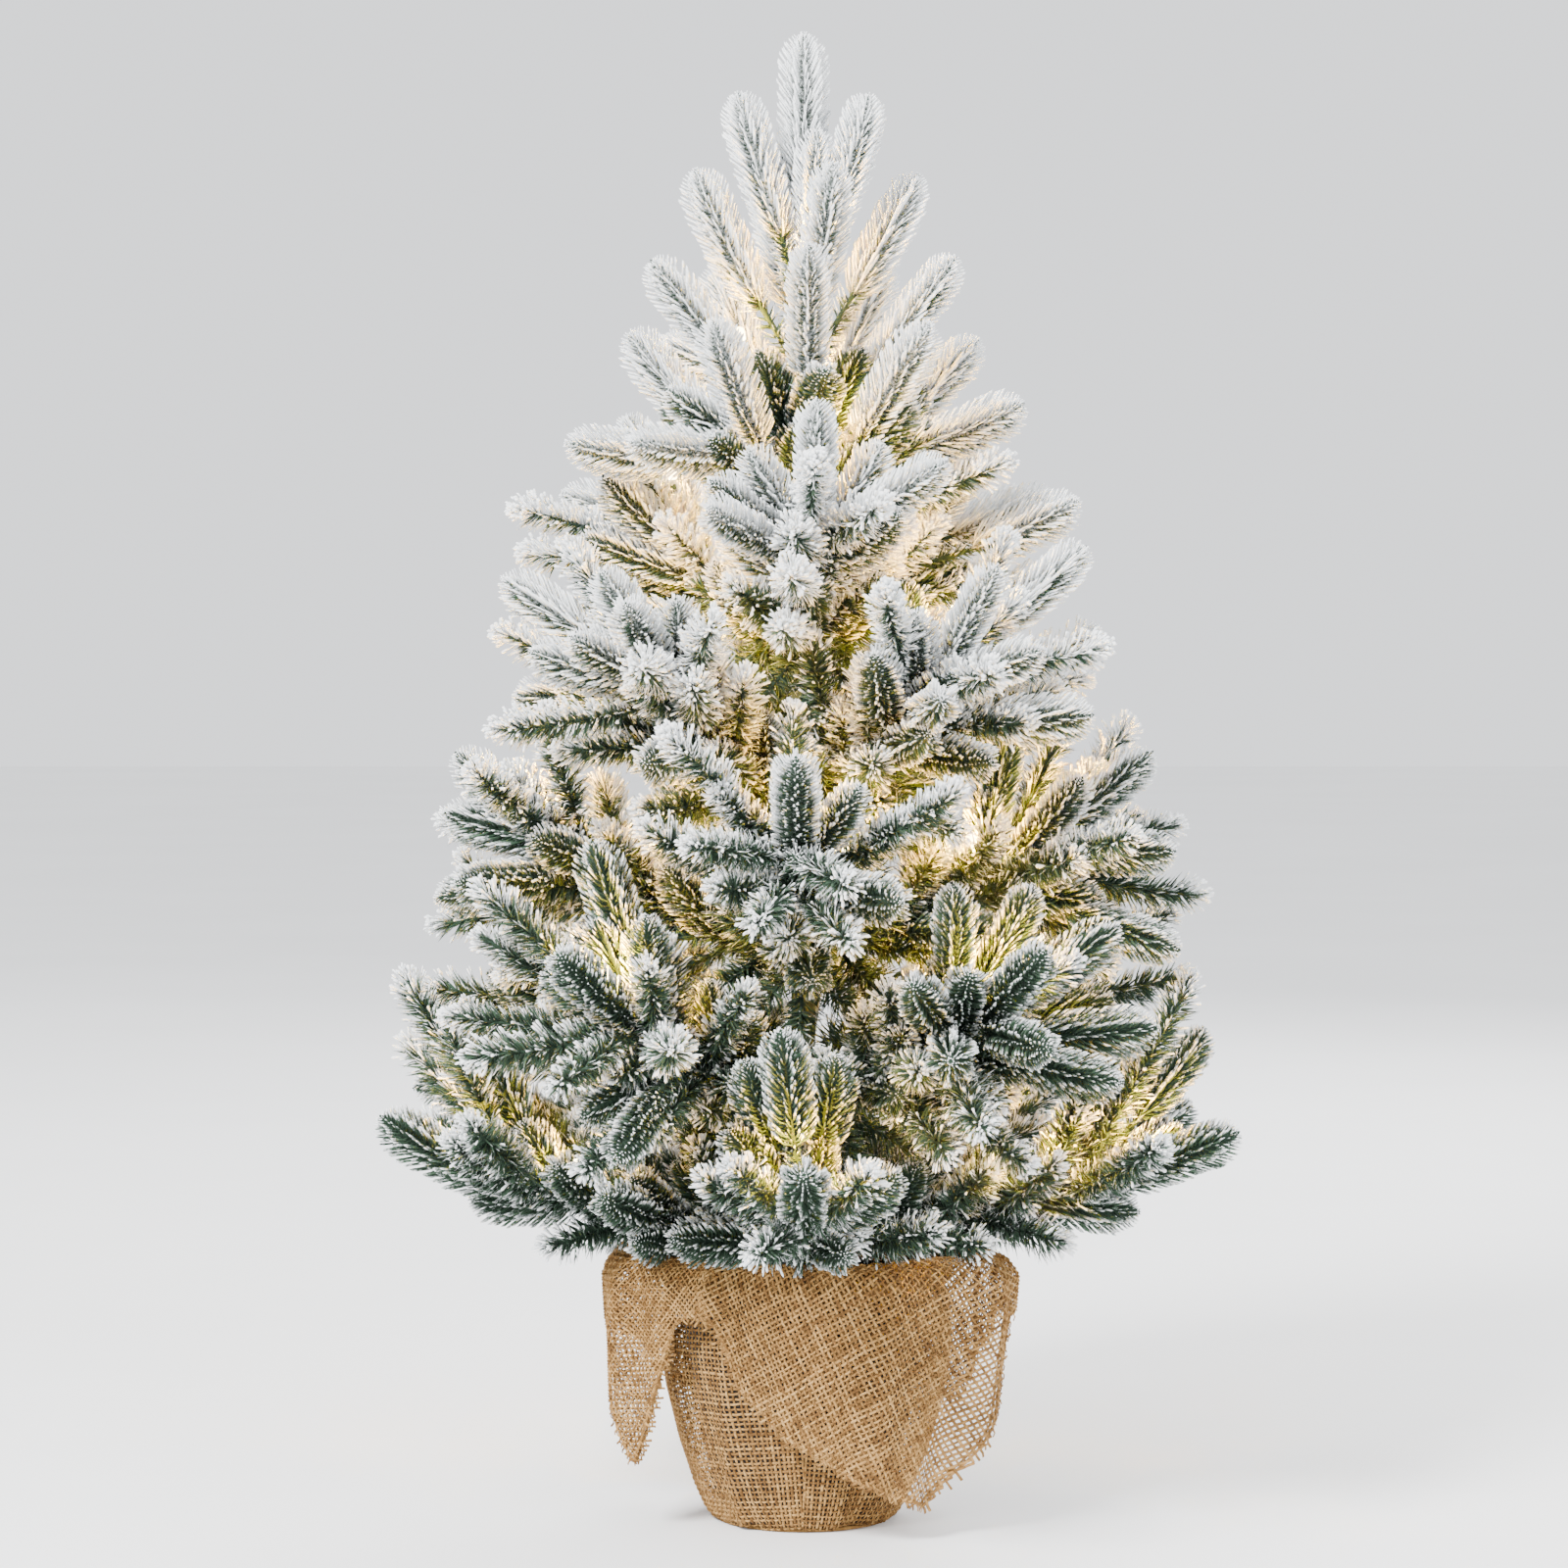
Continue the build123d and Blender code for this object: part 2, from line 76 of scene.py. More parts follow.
# ---------------------------------------------------------------- branch layout, as in the CAD
STEM_ROOT = 8.1
tip_shoots = [(1.0, 0, 8, 62), (0.88, 30, 10, 56), (0.88, -30, 10, 56)]
bottom_shoots = tip_shoots + [
    (0.62, 44, 12, 58), (0.62, -44, 12, 58), (0.38, 38, 16, 50), (0.38, -38, 16, 50),
    (0.76, 10, 44, 42), (0.48, -10, 52, 40), (0.52, 24, -24, 46), (0.74, -22, -20, 46),
]
lower_shoots = tip_shoots + [
    (0.58, 46, 12, 60), (0.58, -46, 12, 60), (0.34, 35, 16, 48), (0.34, -35, 16, 48),
    (0.74, -10, 44, 42), (0.46, 10, 52, 40),
]
middle_shoots = tip_shoots + [
    (0.54, 42, 12, 54), (0.54, -42, 12, 54), (0.30, 32, 16, 44), (0.30, -32, 16, 44),
    (0.72, 10, 44, 40), (0.42, -10, 52, 38),
]
upper_shoots = tip_shoots + [
    (0.48, 36, 12, 46), (0.48, -36, 12, 46), (0.24, 26, 20, 38), (0.24, -26, 20, 38),
    (0.66, -8, 40, 38),
]
top_shoots = tip_shoots + [
    (0.46, 50, 10, 52), (0.46, -50, 10, 52), (0.20, 48, 14, 46), (0.20, -48, 14, 46),
]
rings = {
    "bottom": {"z": 112, "rise": 14, "stem": 124, "turns": (-90, -18, 54, 126, 198), "shoots": bottom_shoots},
    "lower": {"z": 170, "rise": 22, "stem": 112, "turns": (-54, -126, 139, 38), "shoots": lower_shoots},
    "middle": {"z": 228, "rise": 30, "stem": 102, "turns": (-92, -178, 88, -6), "shoots": middle_shoots},
    "upper": {"z": 290, "rise": 39, "stem": 88, "turns": (-48, -134, 134, 44), "shoots": upper_shoots},
    "top": {"z": 354, "rise": 48, "stem": 68, "turns": (-86, 154, 34), "shoots": top_shoots},
}
FIXED_RING = "top"
crown_rings = [(408, 5, 45, 112, -50), (438, 5, 51, 104, -14), (470, 4, 58, 98, -75), (500, 3, 69, 92, -30)]
TRUNK_TOP, LEADER_FOOT, LEADER_TIP = 405.0, 520.0, 611.0
lamp_seats = {0: 0.30, 3: 0.46}
crown_lamp_seats = [(0, 0, 0.42), (0, 2, 0.5), (1, 1, 0.3), (1, 3, 0.46), (2, 0, 0.5), (3, 1, 0.3)]
CORE_RADIUS = 3.0
LAMP_RADIUS, LAMP_LEAN = 2.2, 26.0
BULB_CENTRE, LAMP_SIDES = 9.0, 14


def unit(v):
    return v / np.linalg.norm(v, axis=-1, keepdims=True)


def heading(turn, rise):
    """Unit vectors of a branch: along it, to its side and up from it."""
    turn, rise = radians(turn), radians(rise)
    along = np.array([cos(turn) * cos(rise), sin(turn) * cos(rise), sin(rise)])
    side = np.array([-sin(turn), cos(turn), 0.0])
    return along, side, np.cross(along, side)


def turned(along, side, up, side_angle, lift_angle):
    """A shoot's direction, turned sideways and then lifted from its stem."""
    level = along * cos(radians(side_angle)) + side * sin(radians(side_angle))
    return level * cos(radians(lift_angle)) + up * sin(radians(lift_angle))


def branch_layout(ring, number):
    """Root, the branch's three directions, and each shoot's base, direction and length."""
    along, side, up = heading(ring["turns"][number], ring["rise"])
    turn = radians(ring["turns"][number])
    root = np.array([STEM_ROOT * cos(turn), STEM_ROOT * sin(turn), ring["z"]])
    hand = 1 if number % 2 == 0 else -1
    shoots = []
    for share, side_angle, lift_angle, length in ring["shoots"]:
        way = turned(along, side, up, hand * side_angle, lift_angle)
        shoots.append((root + along * ring["stem"] * share, way, length))
    return root, along, side, up, shoots


def crown_layout():
    """Base, direction and length of each shoot round the leader, ring by ring."""
    return [
        [(np.array([0.0, 0.0, z]), heading(first + 360 / count * i, rise)[0], length) for i in range(count)]
        for z, count, rise, length, first in crown_rings
    ]


def lamp_place(base, way, length, share):
    """Where a lamp sits: on the upper side of its shoot, leaning outwards."""
    out = unit(np.cross(np.cross(way, UP), way))
    seat = base + way * length * share + out * (CORE_RADIUS + LAMP_RADIUS)
    return seat, way * cos(radians(LAMP_LEAN)) + out * sin(radians(LAMP_LEAN))


# ---------------------------------------------------------------- mesh building
NEEDLE_ROWS, NEEDLE_PITCH = 12, 1.95
AXIS_STATIONS, OUTLINE_STEPS = 20, 14
# Stations along a needle: shares of its reach outwards and onwards, its radius, and its snow's difference.
NEEDLE_OUTWARDS = np.array([0.05, 0.16, 0.56, 0.94, 1.0])
NEEDLE_ONWARDS = np.array([0.0, 0.04, 0.32, 0.86, 1.0])
NEEDLE_RADII = np.array([0.3, 0.50, 0.56, 0.64, 0.3])
NEEDLE_SNOW = np.array([-0.40, -0.34, -0.10, 0.38, 0.48])
WIRE_STATIONS, WOUND_BRISTLES_PER_MM = 12, 2.7
BRISTLE_RADII = np.array([0.3, 0.38, 0.40, 0.26])
BRISTLE_SNOW = np.array([-0.45, -0.35, 0.0, 0.42])
LUMP_RADII = np.array([0.3, 0.66, 0.92, 0.4])
# No strand runs along this direction, so every strand's sides can be measured from it.
STRAND_GUIDE = np.array([0.31, 0.17, 0.93])
MOST_POINTS = 90000


class Shape:
    """Collects batches of points and faces with a snow share and a tone at each point."""

    def __init__(self):
        self.batches = []
        self.count = 0

    def add(self, points, faces, snow=0.0, tone=0.5):
        """Adds points, blocks of faces that number them from 0, and the points' snow and tone."""
        points = points.reshape(-1, 3)
        snow = np.broadcast_to(snow, len(points)).astype(np.float32)
        tone = np.broadcast_to(tone, len(points)).astype(np.float32)
        self.batches.append((points, [block for block in faces if len(block)], snow, tone))
        self.count += len(points)

    def portions(self, most):
        """This shape's batches shared out over shapes of at most so many points."""
        shares = [Shape()]
        for batch in self.batches:
            if shares[-1].count and shares[-1].count + len(batch[0]) > most:
                shares.append(Shape())
            shares[-1].add(*batch)
        return shares

    def make(self, name, material):
        """Writes one mesh object in metres."""
        points, loops, sizes = [], [], []
        start = 0
        for batch_points, faces, _, _ in self.batches:
            points.append(batch_points)
            loops += [(block + start).ravel() for block in faces]
            sizes += [np.full(len(block), block.shape[1]) for block in faces]
            start += len(batch_points)
        points = np.concatenate(points) * MM
        loops, sizes = np.concatenate(loops), np.concatenate(sizes)
        mesh = bpy.data.meshes.new(name)
        mesh.vertices.add(len(points))
        mesh.vertices.foreach_set("co", points.astype(np.float32).ravel())
        mesh.loops.add(len(loops))
        mesh.loops.foreach_set("vertex_index", loops.astype(np.int32))
        mesh.polygons.add(len(sizes))
        mesh.polygons.foreach_set("loop_start", (np.cumsum(sizes) - sizes).astype(np.int32))
        mesh.polygons.foreach_set("use_smooth", np.ones(len(sizes), bool))
        for label, values in (
            ("snow", [snow for _, _, snow, _ in self.batches]),
            ("tone", [tone for _, _, _, tone in self.batches]),
        ):
            layer = mesh.attributes.new(label, "FLOAT", "POINT")
            layer.data.foreach_set("value", np.concatenate(values))
        mesh.update(calc_edges=True)
        mesh.validate()
        mesh.materials.append(material)
        piece = bpy.data.objects.new(name, mesh)
        bpy.context.scene.collection.objects.link(piece)
        return piece

    def strands(self, path, radius, sides, snow=0.0, tone=0.5, rough=0.0):
        """Adds closed strands. path is (strands, stations, 3); the first and last stations are points."""
        count, stations, _ = path.shape
        along = unit(np.gradient(path, axis=1))
        side = unit(np.cross(along, np.broadcast_to(STRAND_GUIDE, along.shape)))
        rise = np.cross(side, along)
        rings_in = stations - 2
        angle = np.arange(sides) / sides * 2 * pi + random.uniform(0, 2 * pi, (count, 1, 1))
        reach = np.broadcast_to(radius, (count, stations))[:, 1:-1, None]
        if rough:
            reach = reach * random.uniform(1 - rough, 1 + rough, (count, rings_in, sides))
        body = path[:, 1:-1, None, :] + (
            side[:, 1:-1, None, :] * (np.cos(angle) * reach)[..., None]
            + rise[:, 1:-1, None, :] * (np.sin(angle) * reach)[..., None]
        )
        points = np.concatenate([path[:, :1], body.reshape(count, -1, 3), path[:, -1:]], axis=1)
        values = []
        for value in (snow, tone):
            value = np.broadcast_to(value, (count, stations)).astype(float)
            middle = np.repeat(value[:, 1:-1], sides, axis=1)
            values.append(np.concatenate([value[:, :1], middle, value[:, -1:]], axis=1).ravel())
        per_strand = 2 + rings_in * sides
        start = (np.arange(count) * per_strand)[:, None, None]
        here = np.arange(sides)
        after = (here + 1) % sides
        root_fan = np.stack([np.zeros(sides, int), 1 + after, 1 + here], axis=1)
        last = 1 + (rings_in - 1) * sides
        tip_fan = np.stack([last + here, last + after, np.full(sides, per_strand - 1)], axis=1)
        level = 1 + np.arange(rings_in - 1)[:, None] * sides
        quads = np.stack([level + here, level + after, level + sides + after, level + sides + here], axis=2)
        fans = np.concatenate([root_fan, tip_fan])[None] + start
        self.add(points, [fans.reshape(-1, 3), (quads.reshape(1, -1, 4) + start).reshape(-1, 4)], *values)


def smooth_step(x, low, high):
    """Rises smoothly from 0 at low to 1 at high."""
    x = np.clip((x - low) / (high - low), 0, 1)
    return x * x * (3 - 2 * x)


def sprig_axis(base, way, length, bend, roll):
    """A sprig's axis, straight from its base and curling up to its tip, and the direction to its side."""
    side = unit(np.cross(way, UP + roll * random.normal(size=3)))
    up = np.cross(side, way)
    t = np.linspace(0, 1, AXIS_STATIONS)[:, None]
    return base + way * (length * (t - 0.35 * abs(bend) * t ** 3)) + up * (bend * length * t ** 2), side


def along_axis(axis, side, t):
    """Places at shares t of an axis, with the axis's own direction and the lift direction at each."""
    knots = np.linspace(0, 1, AXIS_STATIONS)
    centre = np.stack([np.interp(t, knots, axis[:, k]) for k in range(3)], axis=1)
    course = unit(np.gradient(axis, axis=0))
    along = unit(np.stack([np.interp(t, knots, course[:, k]) for k in range(3)], axis=1))
    return centre, along, np.cross(np.broadcast_to(side, along.shape), along)


def snow_level(z):
    """How snowed-over the tree is at a height: lightly near the foot, heavily at the crown."""
    return 0.25 + 0.73 * smooth_step(z, 215, 440)


def sprig_outline(distance, length, width):
    """A sprig's radius at a distance from its base: a finger, narrower at its foot, with a rounded end."""
    foot = np.interp(distance / length, [0, 0.10, 0.35], [0.62, 0.84, 1.0])
    cap = 1.25 * width
    into_cap = np.clip((distance - (length - cap)) / cap, 0, 1)
    return width * foot * np.sqrt(1 - into_cap ** 2)


def moulded_sprig(shape, base, way, length, width, bend=0.06, snow=None):
    """A moulded sprig: rows of swept needles, every second one shorter, that end along one outline."""
    way = unit(way)
    axis, side = sprig_axis(base, way, length, bend, 0.15)
    level = snow_level((base + way * length)[2]) if snow is None else snow
    core = sprig_outline(np.linspace(0, 1, AXIS_STATIONS) * length, length, width) * 0.24 + 0.25
    shape.strands(axis[None], core[None], 8, snow=0.08 + 0.34 * level, tone=0.12, rough=0.2)
    count = int(length / NEEDLE_PITCH)
    row = np.repeat(np.arange(NEEDLE_ROWS), count)
    minor = row % 2
    place = np.tile(np.arange(count), NEEDLE_ROWS) + 0.3 + 0.5 * minor + random.uniform(-0.14, 0.14, row.size)
    distance = np.clip(place * NEEDLE_PITCH, 0, length - 0.8)
    t = distance / length
    centre, along, lift = along_axis(axis, side, t)
    phi = pi / 2 + row * 2 * pi / NEEDLE_ROWS + random.normal(0, 0.085, row.size)
    out = side * np.cos(phi)[:, None] + lift * np.sin(phi)[:, None]
    forward = random.uniform(0.82, 1.02, row.size)
    reach = np.full(row.size, width * 0.6)
    for _ in range(OUTLINE_STEPS):
        reach = 0.5 * reach + 0.5 * sprig_outline(distance + forward * reach, length, width)
    reach = np.maximum(reach * random.uniform(0.93, 1.05, row.size) * (1 - 0.20 * minor), 0.9)
    path = centre[:, None] + (
        out[:, None] * (reach[:, None] * NEEDLE_OUTWARDS)[..., None]
        + along[:, None] * ((reach * forward)[:, None] * NEEDLE_ONWARDS)[..., None]
    )
    skyward = 0.5 + 0.5 * out[:, 2]
    frost = level * (0.40 + 0.62 * skyward) + random.normal(0, 0.07, row.size)
    frost = frost + 0.22 * smooth_step(t, 0.72, 1.0) - 0.10 * minor
    girth = random.uniform(0.88, 1.15, (row.size, 1)) * np.clip(reach / width, 0.55, 1)[:, None]
    girth = girth * (1 - 0.18 * minor)[:, None]
    shape.strands(
        path, NEEDLE_RADII * girth, 3,
        snow=np.clip(frost[:, None] + NEEDLE_SNOW, 0, 1),
        tone=random.uniform(0.25, 0.95, (row.size, 1)), rough=0.16,
    )


def bristle_sprig(shape, base, way, length, reach, bend, amount, snow, clumps):
    """A bottle-brush sprig: cut bristles all round a twisted wire, with lumps of snow on their ends."""
    way = unit(way)
    axis, side = sprig_axis(base, way, length, bend, 0.2)
    level = snow_level((base + way * length)[2]) if snow is None else snow
    shape.strands(axis[None], np.full((1, AXIS_STATIONS), 0.75), 5, snow=0.25 * level, tone=0.2, rough=0.15)
    t = np.sort(random.uniform(0.02, 1.0, amount))
    centre, along, lift = along_axis(axis, side, t)
    phi = random.uniform(0, 2 * pi, amount)
    out = side * np.cos(phi)[:, None] + lift * np.sin(phi)[:, None]
    slope = np.radians(np.interp(t, [0, 0.8, 1.0], [60, 54, 16])) + random.normal(0, 0.13, amount)
    outline = np.interp(t, [0, 0.15, 0.85, 1], [0.85, 1.0, 0.95, 0.62])
    span = reach * random.uniform(0.84, 1.1, amount) * outline
    first = along * np.cos(slope)[:, None] + out * np.sin(slope)[:, None]
    end = centre + first * span[:, None]
    droop = random.normal(0, 0.35, (amount, 3))
    middle = (centre + end) / 2 + droop
    path = np.stack([centre, centre + first * (span * 0.1)[:, None], middle, end], axis=1)
    skyward = 0.5 + 0.5 * first[:, 2]
    frost = level * (0.22 + 0.72 * skyward) + 0.24 * smooth_step(t, 0.6, 1.0)
    frost = frost + random.normal(0, 0.13, amount)
    shape.strands(
        path, BRISTLE_RADII * random.uniform(0.8, 1.25, (amount, 1)), 3,
        snow=np.clip(frost[:, None] + BRISTLE_SNOW, 0, 1),
        tone=random.uniform(0.1, 1.0, (amount, 1)), rough=0.1,
    )
    weight = frost + 0.45 * smooth_step(t, 0.75, 1.0) + random.normal(0, 0.22, amount)
    chosen = weight > np.quantile(weight, 1 - clumps)
    picked = int(chosen.sum())
    if picked:
        inner = random.uniform(0.50, 0.74, (picked, 1))
        start, finish = centre[chosen], end[chosen]
        direction = first[chosen]
        lump = np.stack([
            start + (finish - start) * inner, start + (finish - start) * (inner * 0.6 + 0.4),
            finish - direction * 0.4, finish + direction * random.uniform(0.2, 0.6, (picked, 1)),
        ], axis=1)
        lump[:, 1:3] += UP * 0.2
        girth = random.uniform(0.5, 1.05, (picked, 1)) * (0.62 + 0.42 * level)
        shape.strands(lump, LUMP_RADII * girth, 5, snow=1.0, tone=0.9, rough=0.32)


def wound_wire(shape, start, end, level, reach=13.0):
    """A twisted wire wound with long green bristles, as inside the tree."""
    span = end - start
    length = float(np.linalg.norm(span))
    way = span / length
    path = start + span * np.linspace(0, 1, WIRE_STATIONS)[:, None]
    shape.strands(path[None], np.full((1, WIRE_STATIONS), 1.3), 7, snow=0.06, tone=0.15, rough=0.12)
    bristle_sprig(shape, start, way, length, reach, 0.0, int(length * WOUND_BRISTLES_PER_MM), level, 0.05)


# ---------------------------------------------------------------- materials
def new_material(name, roughness, sheen=0.0):
    """A material with its shader, node tree and a helper that adds and links nodes."""
    material = bpy.data.materials.new(name)
    material.use_nodes = True
    nodes, links = material.node_tree.nodes, material.node_tree.links
    shader = nodes["Principled BSDF"]
    shader.inputs["Roughness"].default_value = roughness
    shader.inputs["Sheen Weight"].default_value = sheen
    shader.inputs["Specular IOR Level"].default_value = 0.3

    def node(kind, settings=None, **inputs):
        made = nodes.new(kind)
        for key, value in (settings or {}).items():
            setattr(made, key, value)
        for key, value in inputs.items():
            socket = made.inputs[int(key[1:])] if key[0] == "_" and key[1:].isdigit() else made.inputs[key]
            if isinstance(value, bpy.types.NodeSocket):
                links.new(value, socket)
            else:
                socket.default_value = value
        return made

    return material, shader, node, links


def ramp(node, factor, stops):
    """A colour ramp with the given (position, colour) stops."""
    made = node("ShaderNodeValToRGB", Fac=factor)
    elements = made.color_ramp.elements
    while len(elements) < len(stops):
        elements.new(0.5)
    for element, (position, colour) in zip(elements, stops):
        element.position = position
        element.color = (*colour, 1.0)
    return made.outputs["Color"]


def grain(node, scale, detail=3.0, roughness=0.6):
    """A noise value fixed to the piece's own coordinates."""
    where = node("ShaderNodeTexCoord").outputs["Object"]
    made = node("ShaderNodeTexNoise", Vector=where, Scale=scale, Detail=detail, Roughness=roughness)
    return made.outputs["Fac"]


def bump(node, links, shader, height, strength, distance):
    made = node("ShaderNodeBump", Strength=strength, Distance=distance, Height=height)
    links.new(made.outputs["Normal"], shader.inputs["Normal"])


def foliage_material():
    """Green bristle and needle plastic under patchy white flock."""
    material, shader, node, links = new_material("flocked_needles", 0.85, sheen=0.03)
    snow = node("ShaderNodeAttribute", {"attribute_name": "snow"}).outputs["Fac"]
    tone = node("ShaderNodeAttribute", {"attribute_name": "tone"}).outputs["Fac"]
    greens = ramp(node, tone, [
        (0.0, (0.008, 0.020, 0.011)), (0.35, (0.016, 0.042, 0.022)),
        (0.7, (0.031, 0.070, 0.038)), (1.0, (0.062, 0.112, 0.066)),
    ])
    patches = grain(node, 900.0, 4.0, 0.7)
    edge = node("ShaderNodeMath", {"operation": "MULTIPLY_ADD"}, _0=patches, _1=1.1, _2=-0.55).outputs[0]
    cover = node("ShaderNodeMath", {"operation": "ADD"}, _0=snow, _1=edge).outputs[0]
    mask = node("ShaderNodeMapRange", {"interpolation_type": "SMOOTHSTEP"}, Value=cover)
    mask.inputs["From Min"].default_value = 0.26
    mask.inputs["From Max"].default_value = 0.74
    whites = ramp(node, grain(node, 420.0, 2.0), [(0.3, (0.70, 0.74, 0.76)), (0.62, (0.93, 0.94, 0.94))])
    mixed = node("ShaderNodeMix", {"data_type": "RGBA"}, Factor=mask.outputs[0])
    links.new(greens, mixed.inputs["A"])
    links.new(whites, mixed.inputs["B"])
    links.new(mixed.outputs["Result"], shader.inputs["Base Color"])
    bump(node, links, shader, grain(node, 2600.0, 2.0), 0.55, 0.00035)
    return material


def burlap_material():
    """Hairy jute yarn: tan, with darker flecks and paler fibres."""
    material, shader, node, links = new_material("jute", 0.95)
    tone = node("ShaderNodeAttribute", {"attribute_name": "tone"}).outputs["Fac"]
    fleck = grain(node, 260.0, 5.0, 0.7)
    blend = node("ShaderNodeMath", {"operation": "MULTIPLY_ADD"}, _0=tone, _1=0.26, _2=fleck).outputs[0]
    shade = node("ShaderNodeMath", {"operation": "SUBTRACT"}, _0=blend, _1=0.15).outputs[0]
    colour = ramp(node, shade, [
        (0.10, (0.050, 0.020, 0.005)), (0.34, (0.190, 0.092, 0.025)),
        (0.52, (0.370, 0.202, 0.063)), (0.80, (0.590, 0.365, 0.140)),
    ])
    links.new(colour, shader.inputs["Base Color"])
    bump(node, links, shader, grain(node, 1500.0, 4.0, 0.75), 0.8, 0.0005)
    return material


def wire_material():
    """Green lead with broken patches of white flock."""
    material, shader, node, links = new_material("flocked_lead", 0.7)
    colour = ramp(node, grain(node, 500.0, 3.0), [(0.42, (0.07, 0.12, 0.07)), (0.52, (0.72, 0.74, 0.72))])
    links.new(colour, shader.inputs["Base Color"])
    bump(node, links, shader, grain(node, 1800.0), 0.5, 0.0003)
    return material


def lamp_material():
    """A clear warm-white lamp, lit from inside."""
    material, shader, node, links = new_material("lit_lamp", 0.12)
    warm = ramp(node, grain(node, 160.0, 1.0), [(0.3, (1.0, 0.66, 0.24)), (0.7, (1.0, 0.84, 0.50))])
    links.new(warm, shader.inputs["Base Color"])
    links.new(warm, shader.inputs["Emission Color"])
    shader.inputs["Emission Strength"].default_value = 26.0
    return material


def speckled_material(name, dark, light, scale, roughness, metallic=0.0, depth=0.0002):
    """A finish of two close colours in a fine grain."""
    material, shader, node, links = new_material(name, roughness)
    shader.inputs["Metallic"].default_value = metallic
    links.new(ramp(node, grain(node, scale, 4.0), [(0.35, dark), (0.65, light)]), shader.inputs["Base Color"])
    bump(node, links, shader, grain(node, scale * 2.5), 0.35, depth)
    return material


foliage = foliage_material()
jute = burlap_material()
lead = wire_material()
lit_lamp = lamp_material()
node_finishes = {
    "pot": speckled_material("pot_plastic", (0.018, 0.015, 0.012), (0.035, 0.030, 0.026), 300.0, 0.55),
    "cement_fill": speckled_material(
        "cast_cement", (0.30, 0.29, 0.27), (0.50, 0.49, 0.46), 180.0, 0.92, depth=0.0006),
    "trunk": speckled_material("wrapped_pole", (0.020, 0.035, 0.022), (0.050, 0.075, 0.045), 240.0, 0.6),
    "battery_box": speckled_material("box_plastic", (0.020, 0.045, 0.025), (0.030, 0.060, 0.035), 700.0, 0.5),
    "switch_button": speckled_material("button_plastic", (0.20, 0.21, 0.20), (0.28, 0.29, 0.28), 700.0, 0.45),
    "battery_contacts": speckled_material("nickel", (0.50, 0.49, 0.46), (0.66, 0.65, 0.62), 900.0, 0.3, 1.0),
    "circuit_board": speckled_material("board", (0.010, 0.060, 0.022), (0.016, 0.085, 0.030), 500.0, 0.35),
    "light_wire": lead,
}
node_finishes["branch_collars"] = node_finishes["trunk"]
node_finishes["battery_cover"] = node_finishes["battery_box"]
cell_sleeve = speckled_material("cell_sleeve", (0.02, 0.02, 0.025), (0.04, 0.04, 0.045), 400.0, 0.3, 0.4)
for number in (1, 2, 3):
    node_finishes[f"battery_{number}"] = cell_sleeve
for node_name, finish in node_finishes.items():
    for slot in frame["nodes"][node_name].material_slots:
        slot.material = finish


# ---------------------------------------------------------------- lamps and their leads
def lathe(shape, base, way, profile):
    """Adds a turned form: profile is a list of (distance along, radius)."""
    stations = np.array([base + way * distance for distance, _ in profile])
    shape.strands(stations[None], np.array([radius for _, radius in profile])[None], LAMP_SIDES)


def add_lamp(bulbs, holders, seat, way):
    """One lamp: a ribbed holder and a domed bulb."""
    ribs = [(0, 0.5), (0.05, 1.5), (2.0, 1.7), (2.3, 1.45), (4.0, 1.6), (5.9, 1.7), (6.0, 0.4)]
    lathe(holders, seat, way, ribs)
    dome = [(6.0, 0.3), (6.05, 1.5), (6.5, 2.0), (8.0, 2.1), (9.6, 2.15)]
    dome += [(9.8 + 2.1 * sin(a), 2.15 * cos(a)) for a in np.linspace(0.25, 1.35, 5)] + [(11.9, 0.1)]
    lathe(bulbs, seat, way, dome)


LAMP_POWER, CROWN_DIMMING = 1.05, 0.50


def add_light(name, place, parent):
    """A small warm light inside a bulb; those of the denser crown are dimmer."""
    data = bpy.data.lights.new(name, "POINT")
    data.energy = LAMP_POWER - CROWN_DIMMING * smooth_step(place[2], 230, 430)
    data.color = (1.0, 0.50, 0.025)
    data.shadow_soft_size = 0.0022
    light = bpy.data.objects.new(name, data)
    light.location = place * MM
    light.parent = parent
    bpy.context.scene.collection.objects.link(light)


# A branch's lead: its start along and above the stem, then its height and sway at two shares of the stem.
LEAD_START, LEAD_LIFT, LEAD_DIP = (9.0, 3.0), 3.6, 3.0
LEAD_INNER, LEAD_OUTER = (0.34, 1.4), (0.84, -0.8)
# The lead's two strands: radius, distance from its axis, and twist in radians over its length.
STRAND_RADIUS, STRAND_OFFSET, STRAND_TWIST = 0.6, 0.55, 26.0


def lead_path(name, points):
    """Points along a lead's own curve: a quadratic NURBS spline from its first point to its last."""
    curve = bpy.data.curves.new(name, "CURVE")
    curve.dimensions = "3D"
    curve.resolution_u = 12
    spline = curve.splines.new("NURBS")
    spline.points.add(len(points) - 1)
    for knot, place in zip(spline.points, points):
        knot.co = (*place, 1.0)
    spline.order_u = 3
    spline.use_endpoint_u = True
    carrier = bpy.data.objects.new(name, curve)
    mesh = bpy.data.meshes.new_from_object(carrier)
    path = np.array([vertex.co[:] for vertex in mesh.vertices])
    bpy.data.objects.remove(carrier)
    bpy.data.meshes.remove(mesh)
    bpy.data.curves.remove(curve)
    return path


